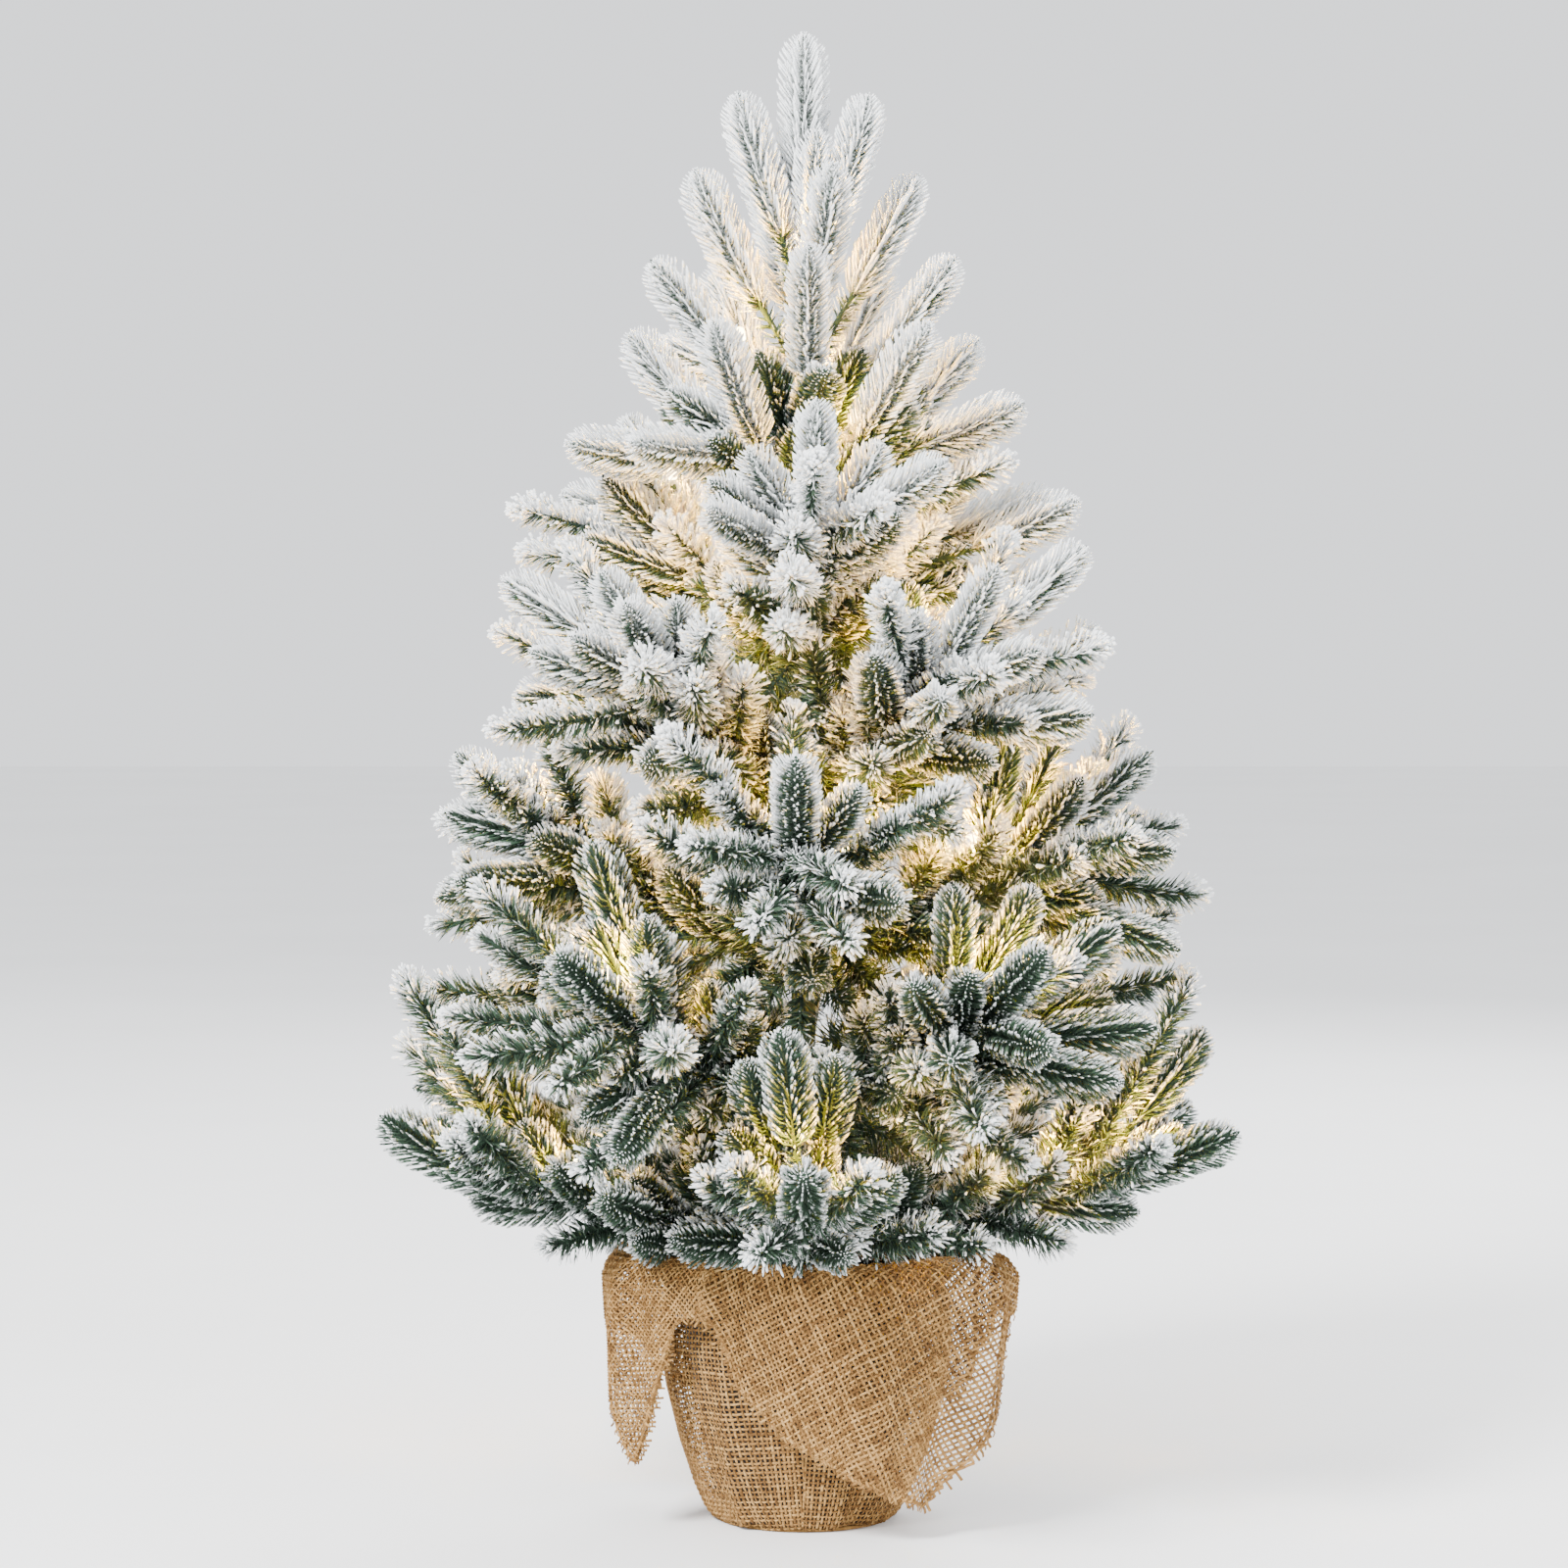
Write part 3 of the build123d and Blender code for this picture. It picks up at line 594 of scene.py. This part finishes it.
def make_lights(name, node, body, places, route=None):
    """The bulbs, holders and lead of one branch, each bulb with its light."""
    bulbs, holders = Shape(), Shape()
    for seat, way in places:
        add_lamp(bulbs, holders, seat, way)
    if route is not None:
        path = lead_path(f"{name}_route", route)
        twist = np.linspace(0, STRAND_TWIST, len(path))
        swing = STRAND_OFFSET * np.stack([np.cos(twist), np.sin(twist), np.zeros(len(path))], axis=1)
        for strand in (path + swing, path - swing):
            holders.strands(strand[None], np.full((1, len(path)), STRAND_RADIUS), 6, rough=0.15)
    bulb_piece = bulbs.make(f"{name}_bulbs", lit_lamp)
    holder_piece = holders.make(f"{name}_lead", lead)
    for piece in (bulb_piece, holder_piece):
        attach(piece, body)
        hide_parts(node)
    bulb_piece.visible_shadow = False
    for index, (seat, way) in enumerate(places):
        add_light(f"{name}_glow_{index}", seat + way * BULB_CENTRE, bulb_piece)


# ---------------------------------------------------------------- foliage
# The tree's outline: its radius at each height.
outline_heights = [
    114, 130, 148, 165, 195, 215, 235, 264, 290, 314, 337, 369, 409, 431, 450, 484, 500, 520, 548, 562, 582,
]
outline_radii = [
    92, 110, 146, 176, 178, 168, 160, 163, 153, 152, 145, 132, 120, 114, 98, 90, 86, 72, 62, 48, 30,
]
SPRIG_LENGTH = 50.0
BRISTLES_PER_MM = 6.4
STEM_BARE_FOOT, STEM_BARE = 10.0, 12.0
DEPTH_LIMIT = 152.0
LAMP_CLEARANCE = 15.0
OPEN_CROWN = 455.0
# Shells that sprigs fill: share of the outline's radius, spacing of tips, and number of tries.
FILL_SHELLS = ((0.97, 28.0, 4200), (0.78, 26.0, 4200), (0.58, 26.0, 2600), (0.36, 28.0, 900))


def stems():
    """Every stem that a sprig can spring from: its piece's name, foot, direction and length."""
    found = []
    for ring_name, ring in rings.items():
        for number in range(len(ring["turns"])):
            root, along, _, _, _ = branch_layout(ring, number)
            foot, length = root + along * STEM_BARE_FOOT, ring["stem"] - STEM_BARE
            found.append((f"{ring_name}_{number + 1}", foot, along, length))
    for ring_number, crown_ring in enumerate(crown_layout()):
        for base, way, length in crown_ring:
            found.append((f"crown_{ring_number + 1}", base, way, length * 0.6))
    return found


def sprig(shape, base, way, length, moulded, snow=None):
    """One sprig, moulded or bristle."""
    way = unit(way + random.normal(0, 0.04, 3))
    if moulded:
        moulded_sprig(shape, base, way, length, random.uniform(9.8, 11.3), random.uniform(0.02, 0.12), snow)
    else:
        reach, bend = random.uniform(11.0, 13.2), random.uniform(0.0, 0.12)
        clumps = random.uniform(0.16, 0.30) + 0.22 * smooth_step(base[2], 240, 420)
        bristle_sprig(shape, base, way, length, reach, bend, int(length * BRISTLES_PER_MM), snow, clumps)


def moulded_share(z):
    """What share of the filling sprigs is moulded at a height: nearly all at the crown, fewer lower down."""
    return 0.42 + 0.53 * smooth_step(z, 380, 470)


def clear_of_lamps(start, end, bulbs):
    """True if a sprig from start to end leaves every bulb open to view."""
    span = end - start
    share = np.clip((bulbs - start) @ span / (span @ span), 0, 1)
    return np.min(np.linalg.norm(start + span * share[:, None] - bulbs, axis=1)) > LAMP_CLEARANCE


def fill_targets(tips):
    """Where more sprigs end, so that no part of the tree's outline or inside is left bare."""
    targets = []
    for shell, base_spacing, tries in FILL_SHELLS:
        for _ in range(tries):
            z = random.uniform(outline_heights[0], outline_heights[-1] - (1 - shell) * 160)
            reach = np.interp(z, outline_heights, outline_radii) * shell * random.uniform(0.94, 1.03)
            turn = random.uniform(0, 2 * pi)
            target = np.array([reach * cos(turn), min(reach * sin(turn), DEPTH_LIMIT), z + (1 - shell) * 50])
            if z > OPEN_CROWN and shell < 0.9:
                continue
            spacing = base_spacing + 12 * smooth_step(z, OPEN_CROWN - 40, OPEN_CROWN + 30)
            if np.min(np.linalg.norm(tips - target, axis=1)) > spacing:
                tips = np.vstack([tips, target])
                targets.append((target, shell))
    return targets


def springing_place(target, choices):
    """The stem and the place on it that a sprig ending at the target best springs from."""
    best = None
    for name, foot, along, length in choices:
        for share in np.linspace(0.1, 1.0, 10):
            base = foot + along * length * share
            span = target - base
            distance = np.linalg.norm(span)
            straight = (span @ along) / distance
            outward = (span @ unit(target * [1, 1, 0])) / distance
            cost = abs(distance - SPRIG_LENGTH) * 0.45 + 42 * (1 - straight) + 30 * max(0.0, 0.25 - outward)
            if best is None or cost < best[0]:
                best = (cost, name, base, span / distance, distance)
    return best[1:]


def branch_lights(ring, number):
    """A branch's lamp places and its lead's route, as in the CAD."""
    root, along, side, up, shoots = branch_layout(ring, number)
    places = [lamp_place(*shoots[index], share) for index, share in lamp_seats.items()]
    last_place, first_place = places
    inner, outer = [
        root + along * ring["stem"] * share + up * LEAD_LIFT + side * sway
        for share, sway in (LEAD_INNER, LEAD_OUTER)
    ]
    route = [
        root + along * LEAD_START[0] + up * LEAD_START[1], inner,
        first_place[0] - along * LEAD_DIP, outer, last_place[0] + last_place[1],
    ]
    return places, route


lamp_groups = {}
top_places = []
for ring_name, ring in rings.items():
    for number in range(len(ring["turns"])):
        places, route = branch_lights(ring, number)
        if ring_name == FIXED_RING:
            top_places += places
        else:
            lamp_groups[f"{ring_name}_{number + 1}"] = (places, route)
crown = crown_layout()
for ring_number, shoot_number, share in crown_lamp_seats:
    top_places.append(lamp_place(*crown[ring_number][shoot_number], share))
lamp_groups["top_lights"] = (top_places, None)

# Dark sprigs that hide the trunk: side angle from the branch, and slope above level. Their flock, held near
# none, is partly the real thin flock deep in the tree and partly painted shade of its core.
ROOT_SPRIGS = ((54, 32), (-50, 24), (34, -30), (-38, -36), (0, -52), (6, 66))
ROOT_SPRIG_LENGTH = 42
# Which shoots of a branch carry moulded sprigs, counted from its number; its tip always does.
moulded_pick = {
    "bottom": (0, 3, 7, 9), "lower": (0, 2, 7), "middle": (0, 1, 4, 7), "upper": (0, 2, 3, 7),
    "top": (0, 1, 2, 4),
}
foliage_shapes = {}
tips = [np.array([0.0, 0.0, LEADER_TIP])]
for ring_name, ring in rings.items():
    for number in range(len(ring["turns"])):
        shape = foliage_shapes[f"{ring_name}_{number + 1}"] = Shape()
        root, along, side, up, shoots = branch_layout(ring, number)
        # The wound wire's flock is held low: partly the real thinner flock inside the tree, partly painted
        # shade of its core.
        wound_wire(shape, root + along * 6, root + along * ring["stem"], 0.22 * snow_level(ring["z"]))
        for swing, rise in ROOT_SPRIGS:
            if ring_name == "bottom":
                rise = abs(rise)
            way = heading(ring["turns"][number] + swing, rise)[0]
            # Root sprigs get almost no flock: partly real, partly painted shade of the tree's core.
            bristle_sprig(shape, root + along * 9, way, ROOT_SPRIG_LENGTH, 12.0, 0.05, 150, 0.04, 0.04)
        for index, (base, way, length) in enumerate(shoots):
            moulded = (index + number) % len(shoots) in moulded_pick[ring_name] or index == 0
            sprig(shape, base, way, length, moulded)
            tips.append(base + way * length)

for ring_number, crown_ring in enumerate(crown):
    shape = foliage_shapes[f"crown_{ring_number + 1}"] = Shape()
    for base, way, length in crown_ring:
        bare = length - random.uniform(58, 66)
        wound_wire(shape, base, base + way * (bare + 10), 0.5, reach=10.0)
        sprig(shape, base + way * bare, way, length - bare, True)
        tips.append(base + way * length)

tips = np.array(tips)
springing = stems()
bulb_centres = np.array([
    seat + way * BULB_CENTRE for places, _ in lamp_groups.values() for seat, way in places
])
for target, shell in fill_targets(tips):
    name, base, way, distance = springing_place(target, springing)
    if not clear_of_lamps(base, target, bulb_centres):
        continue
    shape = foliage_shapes[name]
    # Sprigs of the inner shells and their wires get less flock: partly the real thinning of flock towards the
    # trunk, partly painted shade of the tree's core.
    level = snow_level(target[2]) * (0.10 + 0.90 * smooth_step(shell, 0.45, 1.0))
    length = min(distance, random.uniform(46, 56))
    start = base + way * (distance - length)
    if distance - length > 12:
        wound_wire(shape, base, start, 0.4 * level, reach=9.0)
    sprig(shape, start, way, length, random.random() < moulded_share(target[2]), snow=level)

leader = foliage_shapes["leader"] = Shape()
core = np.linspace([0, 0, TRUNK_TOP - 1.0], [0, 0, LEADER_FOOT + 10], AXIS_STATIONS)
leader.strands(core[None], np.full((1, AXIS_STATIONS), 2.3), 8, snow=0.2, tone=0.2, rough=0.15)
tip_foot = LEADER_FOOT + 14
moulded_sprig(leader, np.array([0.0, 0.0, tip_foot]), UP, LEADER_TIP - tip_foot, 10.8, 0.0)
moulded_sprig(leader, np.array([1.0, -3.0, LEADER_FOOT - 8]), np.array([0.10, -0.16, 1.0]), 60, 9.2, 0.02)
moulded_sprig(leader, np.array([-2.0, 3.0, LEADER_FOOT - 12]), np.array([-0.16, 0.14, 1.0]), 58, 9.2, 0.02)

for label, shape in foliage_shapes.items():
    moves = label in frame["bodies"]
    family, _, number = label.partition("_")
    for share, portion in enumerate(shape.portions(MOST_POINTS)):
        piece = portion.make(f"foliage_{label}_{'abc'[share]}", foliage)
        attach(piece, label if moves else "root")
        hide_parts(f"{family}_branch_{number}" if family in rings else "leader")

for label, (places, route) in lamp_groups.items():
    ring_name, _, number = label.partition("_")
    if label in frame["bodies"]:
        make_lights(f"lights_{label}", f"{ring_name}_lights_{number}", label, places, route)
    else:
        make_lights(label, label, "root", places)


# ---------------------------------------------------------------- burlap
PITCH = 2.1
YARN_HALF_WIDTH = 0.55
YARN_HALF_THICKNESS = 0.26
YARN_WAVE = 0.38


def woven(shape, surface, inside, centre, half_size, tilt, pitch=PITCH, fray=2):
    """Adds both sets of yarns of a plain weave.

    surface maps flat (u, v) to a point, and inside says what is cloth.
    The weave is tilted in the flat by the given angle about its centre. Yarns run on past the edge as fray.
    """
    turn = radians(tilt)
    rows = int(half_size / pitch)
    index = np.arange(-rows, rows + 1)
    a, b = np.meshgrid(index * pitch, index * pitch, indexing="ij")
    for direction in (0, 1):
        x, y = (a, b) if direction == 0 else (b, a)
        wander = random.normal(0, 0.10, (len(index), 1)) + 0.12 * np.sin(y / 17 + a[:, :1] * 3.1)
        x = x + wander if direction == 0 else x
        y = y if direction == 0 else y + wander
        u = centre[0] + x * cos(turn) - y * sin(turn)
        v = centre[1] + x * sin(turn) + y * cos(turn)
        cloth = inside(u, v)
        for _ in range(fray):
            grow = cloth.copy()
            grow[:, 1:] |= cloth[:, :-1] & (random.random((len(index), 1)) < 0.7)
            grow[:, :-1] |= cloth[:, 1:] & (random.random((len(index), 1)) < 0.7)
            cloth = grow
        point = surface(u, v)
        step = 0.4
        normal = unit(np.cross(surface(u + step, v) - point, surface(u, v + step) - point) + 1e-12)
        sign = np.where((np.add.outer(index, index) + direction) % 2 == 0, 1.0, -1.0)
        point = point + normal * (sign * YARN_WAVE)[..., None]
        along = unit(np.gradient(point, axis=1) + 1e-12)
        flat_side = np.cross(normal, along)
        width = YARN_HALF_WIDTH * pitch / PITCH * random.uniform(0.8, 1.2, (len(index), 1, 1))
        width = width * random.uniform(0.88, 1.12, (len(index), len(index), 1))
        corners = np.stack([
            point + flat_side * width, point + normal * YARN_HALF_THICKNESS,
            point - flat_side * width, point - normal * YARN_HALF_THICKNESS,
        ], axis=2)
        number = np.arange(corners[..., 0].size).reshape(corners.shape[:3])
        joined = cloth[:, :-1] & cloth[:, 1:]
        near, far = number[:, :-1][joined], number[:, 1:][joined]
        sides = [
            np.stack([near[:, k], near[:, (k + 1) % 4], far[:, (k + 1) % 4], far[:, k]], axis=1)
            for k in range(4)
        ]
        before = np.zeros_like(cloth)
        before[:, 1:] = joined
        after = np.zeros_like(cloth)
        after[:, :-1] = joined
        starts = number[after & ~before][:, ::-1]
        ends = number[before & ~after]
        used = np.unique(np.concatenate([near.ravel(), far.ravel()])) if len(near) else np.array([], int)
        renumber = np.full(number.size, -1)
        renumber[used] = np.arange(len(used))
        tone = np.repeat(random.uniform(0, 1, (len(index), 1)) * np.ones((1, len(index))), 4)
        faces = [renumber[block] for block in sides + [starts, ends]]
        shape.add(corners.reshape(-1, 3)[used], faces, 0.0, tone[used])


def bag_radius(height):
    """The bag's outer radius at a height above its foot."""
    heights = [0, 4, 14, 31, 54, 74, 90, 104]
    return np.interp(height, heights, [38.6, 42.0, 47.0, 53.0, 59.0, 61.6, 60.4, 57.0])


def bag_folds(turn, height):
    """Soft folds in the bag: shallow waves with a crease at the front right and one at the front left."""
    waves = 0.9 * np.sin(5 * turn + 0.6) + 0.6 * np.sin(9 * turn + height / 40)
    right = 3.2 * np.exp(-((turn - radians(-58) + height * 0.004) / 0.10) ** 2)
    right = right * smooth_step(-height, -70, -20)
    left = 2.4 * np.exp(-((turn - radians(-128) - height * 0.002) / 0.09) ** 2)
    return waves * smooth_step(height, 2, 30) - right + left - 1.6


BAG_GIRTH = 2 * pi * 56.0
FOOT_RADIUS, FOOT_UNDERSIDE, FOOT_TOP = 37.0, 0.15, 1.2
FOOT_SIDES = 96


def bag_surface(u, v):
    """Bag cloth: u runs round the pot, v climbs from the foot."""
    turn = u / (BAG_GIRTH / (2 * pi))
    height = np.clip(v, 0.9, 104)
    reach = bag_radius(height) + bag_folds(turn, height)
    reach = np.minimum(reach, np.where(height < 6, 43.0, 70.0))
    return np.stack([reach * np.cos(turn), reach * np.sin(turn), height], axis=-1)


def weave_bag():
    """The bag in four quarters, so that its yarns slant a little differently round the pot."""
    shape = Shape()
    quarter = BAG_GIRTH / 4
    for number, tilt in enumerate((4, -3, 5, -5)):
        middle = (number + 0.5) * quarter - BAG_GIRTH / 2

        def inside(u, v, middle=middle):
            return (np.abs(u - middle) <= quarter / 2 + 0.8) & (v >= 0.6) & (v <= 103)

        woven(shape, bag_surface, inside, (middle, 52.0), 78.0, tilt, fray=0)
    count = FOOT_SIDES
    foot = np.linspace(0, 2 * pi, count, endpoint=False)
    edge = np.stack([FOOT_RADIUS * np.cos(foot), FOOT_RADIUS * np.sin(foot)], axis=1)
    low, high = (
        np.concatenate([[[0, 0, z]], np.column_stack([edge, np.full(count, z)])])
        for z in (FOOT_UNDERSIDE, FOOT_TOP)
    )
    here, after = 1 + np.arange(count), 1 + (np.arange(count) + 1) % count
    lift = count + 1
    under = np.stack([np.zeros(count, int), after, here], axis=1)
    over = np.stack([np.full(count, lift), here + lift, after + lift], axis=1)
    wall = np.stack([here, after, after + lift, here + lift], axis=1)
    shape.add(np.concatenate([low, high]), [under, over, wall], 0.0, 0.4)
    return shape.make("burlap_bag", jute)


# Outer edge of the folded-down cloth: direction in degrees, height of its hem and how far out it hangs.
hem_turns = [
    -20, 0, 18, 40, 62, 86, 104, 128, 150, 176, 190, 198, 204,
    208, 213, 219, 225, 232, 239, 246, 263, 290, 312, 322, 332, 340,
]
hem_heights = [
    88, 92, 66, 38, 62, 92, 70, 42, 66, 90, 84, 60, 38,
    29, 42, 64, 86, 93, 88, 64, 45, 25, 14, 30, 48, 88,
]
hang_turns = [-30, -14, 0, 40, 84, 128, 176, 206, 232, 246, 263, 290, 312, 330]
hang_radii = [91, 91, 82, 84, 80, 84, 82, 85, 74, 69, 71, 75, 79, 91]
SHOULDER_RUN = 30.0
SHOULDER_Z = 103.0
FLAP_CIRCLE = 80.0


def flap_surface(u, v, inset=0.0):
    """Folded-down cloth: u runs round a circle of FLAP_CIRCLE, v runs from the neck outwards."""
    turn = u / FLAP_CIRCLE
    degrees = (np.degrees(turn) + 30) % 360 - 30
    hang = np.interp(degrees, hang_turns, hang_radii)
    climb = np.clip(v, -2, SHOULDER_RUN)
    crest_reach = np.interp(climb, [-2, 0, 10, 18, 24, SHOULDER_RUN], [56.4, 57, 63, 70, 76, 80])
    crest_z = np.interp(climb, [-2, 0, 10, 18, 24, SHOULDER_RUN], [102, 104, 112, 113.5, 110, SHOULDER_Z])
    spread = smooth_step(climb, 4, SHOULDER_RUN)
    reach = crest_reach + (hang - FLAP_CIRCLE) * spread
    fall = np.clip(v - SHOULDER_RUN, 0, None)
    z = crest_z - fall
    ripple = (1.5 * np.sin(11 * turn + 1.0) + 1.1 * np.sin(23 * turn + v / 30)) * smooth_step(v, 6, 50)
    gather = 1.3 * np.sin(46 * turn) * (1 - smooth_step(v, 8, 34))
    tuck = -0.055 * fall
    reach = reach + ripple + gather * smooth_step(v, -2, 4) + tuck
    reach = np.maximum(reach, bag_radius(np.clip(z, 0, 104)) + 4.2) - inset
    return np.stack([reach * np.cos(turn), reach * np.sin(turn), z - 0.6 * inset], axis=-1)


def drop_to_hem(u):
    """How far the cloth runs from the neck to its hem."""
    degrees = (np.degrees(u / FLAP_CIRCLE) + 20) % 360 - 20
    return SHOULDER_RUN + SHOULDER_Z - np.interp(degrees, hem_turns, hem_heights)


def weave_flap(name, first, last, tilt, pitch=PITCH, inset=0.0):
    """One stretch of the folded-down cloth between two directions, with its own slant of weave."""
    shape = Shape()
    low, high = radians(first) * FLAP_CIRCLE, radians(last) * FLAP_CIRCLE
    centre = ((low + high) / 2, 62.0)

    def surface(u, v):
        return flap_surface(u, v, inset)

    def inside(u, v):
        return (u >= low) & (u <= high) & (v >= -1) & (v <= drop_to_hem(u))

    woven(shape, surface, inside, centre, max((high - low) / 2, 70) * 1.35, tilt, pitch)
    edge = np.linspace(low, high, 160)
    for inset, girth in ((0.7, 0.62), (2.4, 0.48)):
        drop = drop_to_hem(edge) - inset + 0.3 * np.sin(edge / 3)
        shape.strands(surface(edge, drop)[None], np.full((1, 160), girth), 6, tone=0.7, rough=0.2)
    return shape.make(name, jute)


bag = weave_bag()
flaps = [
    weave_flap("burlap_flap_front", 236, 346, -27),
    weave_flap("burlap_flap_left", 176, 236, 38, 1.7),
    weave_flap("burlap_flap_rear_left", 86, 176, 42),
    weave_flap("burlap_flap_rear_right", -14, 86, 40),
    weave_flap("burlap_flap_left_fold", 190, 222, -8, 1.9, inset=2.4),
]
for piece in [bag] + flaps:
    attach(piece, "root")
    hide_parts("burlap_wrap")

# Twine round the neck: turns of two-ply cord, each 1 mm above the one before.
TWINE_TURNS, TWINE_STATIONS = 3, 260
TWINE_REACH, TWINE_Z = 60.2, 99.6
PLY_OFFSET, PLY_RADIUS, PLIES_PER_RADIAN = 0.7, 0.75, 30
twine = Shape()
turns = np.linspace(0, 2 * pi * TWINE_TURNS, TWINE_STATIONS)
for phase in (0, pi):
    lay = turns * PLIES_PER_RADIAN + phase
    reach = TWINE_REACH + PLY_OFFSET * np.cos(lay)
    rise = TWINE_Z + turns / (2 * pi) + PLY_OFFSET * np.sin(lay)
    ply = np.stack([reach * np.cos(turns), reach * np.sin(turns), rise], axis=1)
    twine.strands(ply[None], np.full((1, TWINE_STATIONS), PLY_RADIUS), 6, tone=0.3, rough=0.1)
twine_piece = twine.make("neck_twine", jute)
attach(twine_piece, "root")
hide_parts("burlap_tie")

# ---------------------------------------------------------------- floor and light
FLOOR_HALF_WIDTH, FLOOR_FRONT, FLOOR_BACK = 6, -4, 8
corners = [(-FLOOR_HALF_WIDTH, FLOOR_FRONT, 0), (FLOOR_HALF_WIDTH, FLOOR_FRONT, 0),
           (FLOOR_HALF_WIDTH, FLOOR_BACK, 0), (-FLOOR_HALF_WIDTH, FLOOR_BACK, 0)]
floor_mesh = bpy.data.meshes.new("floor")
floor_mesh.from_pydata(corners, [], [(0, 1, 2, 3)])
floor = bpy.data.objects.new("floor", floor_mesh)
bpy.context.scene.collection.objects.link(floor)
floor_finish = speckled_material("floor", (0.88, 0.88, 0.88), (0.91, 0.91, 0.91), 3.0, 0.6, depth=0.0)
floor_mesh.materials.append(floor_finish)

world = bpy.data.worlds.new("studio")
bpy.context.scene.world = world
world.use_nodes = True
world.node_tree.nodes["Background"].inputs["Color"].default_value = (0.92, 0.94, 0.97, 1.0)
world.node_tree.nodes["Background"].inputs["Strength"].default_value = 1.62


def softbox(name, place, target, size, power):
    data = bpy.data.lights.new(name, "AREA")
    data.shape, data.size, data.energy = "DISK", size, power
    light = bpy.data.objects.new(name, data)
    light.location = place
    direction = np.array(target) - np.array(place)
    yaw = np.arctan2(direction[0], direction[1])
    pitch = np.arctan2(direction[2], np.hypot(direction[0], direction[1]))
    light.rotation_euler = (pi / 2 + pitch, 0.0, -yaw)
    bpy.context.scene.collection.objects.link(light)


softbox("key", (-1.1, -1.5, 1.7), (0, 0, 0.3), 0.7, 158)
softbox("fill", (1.4, -1.2, 0.9), (0, 0, 0.3), 1.0, 26)
softbox("rim", (0.6, 1.6, 1.3), (0, 0, 0.35), 0.9, 40)
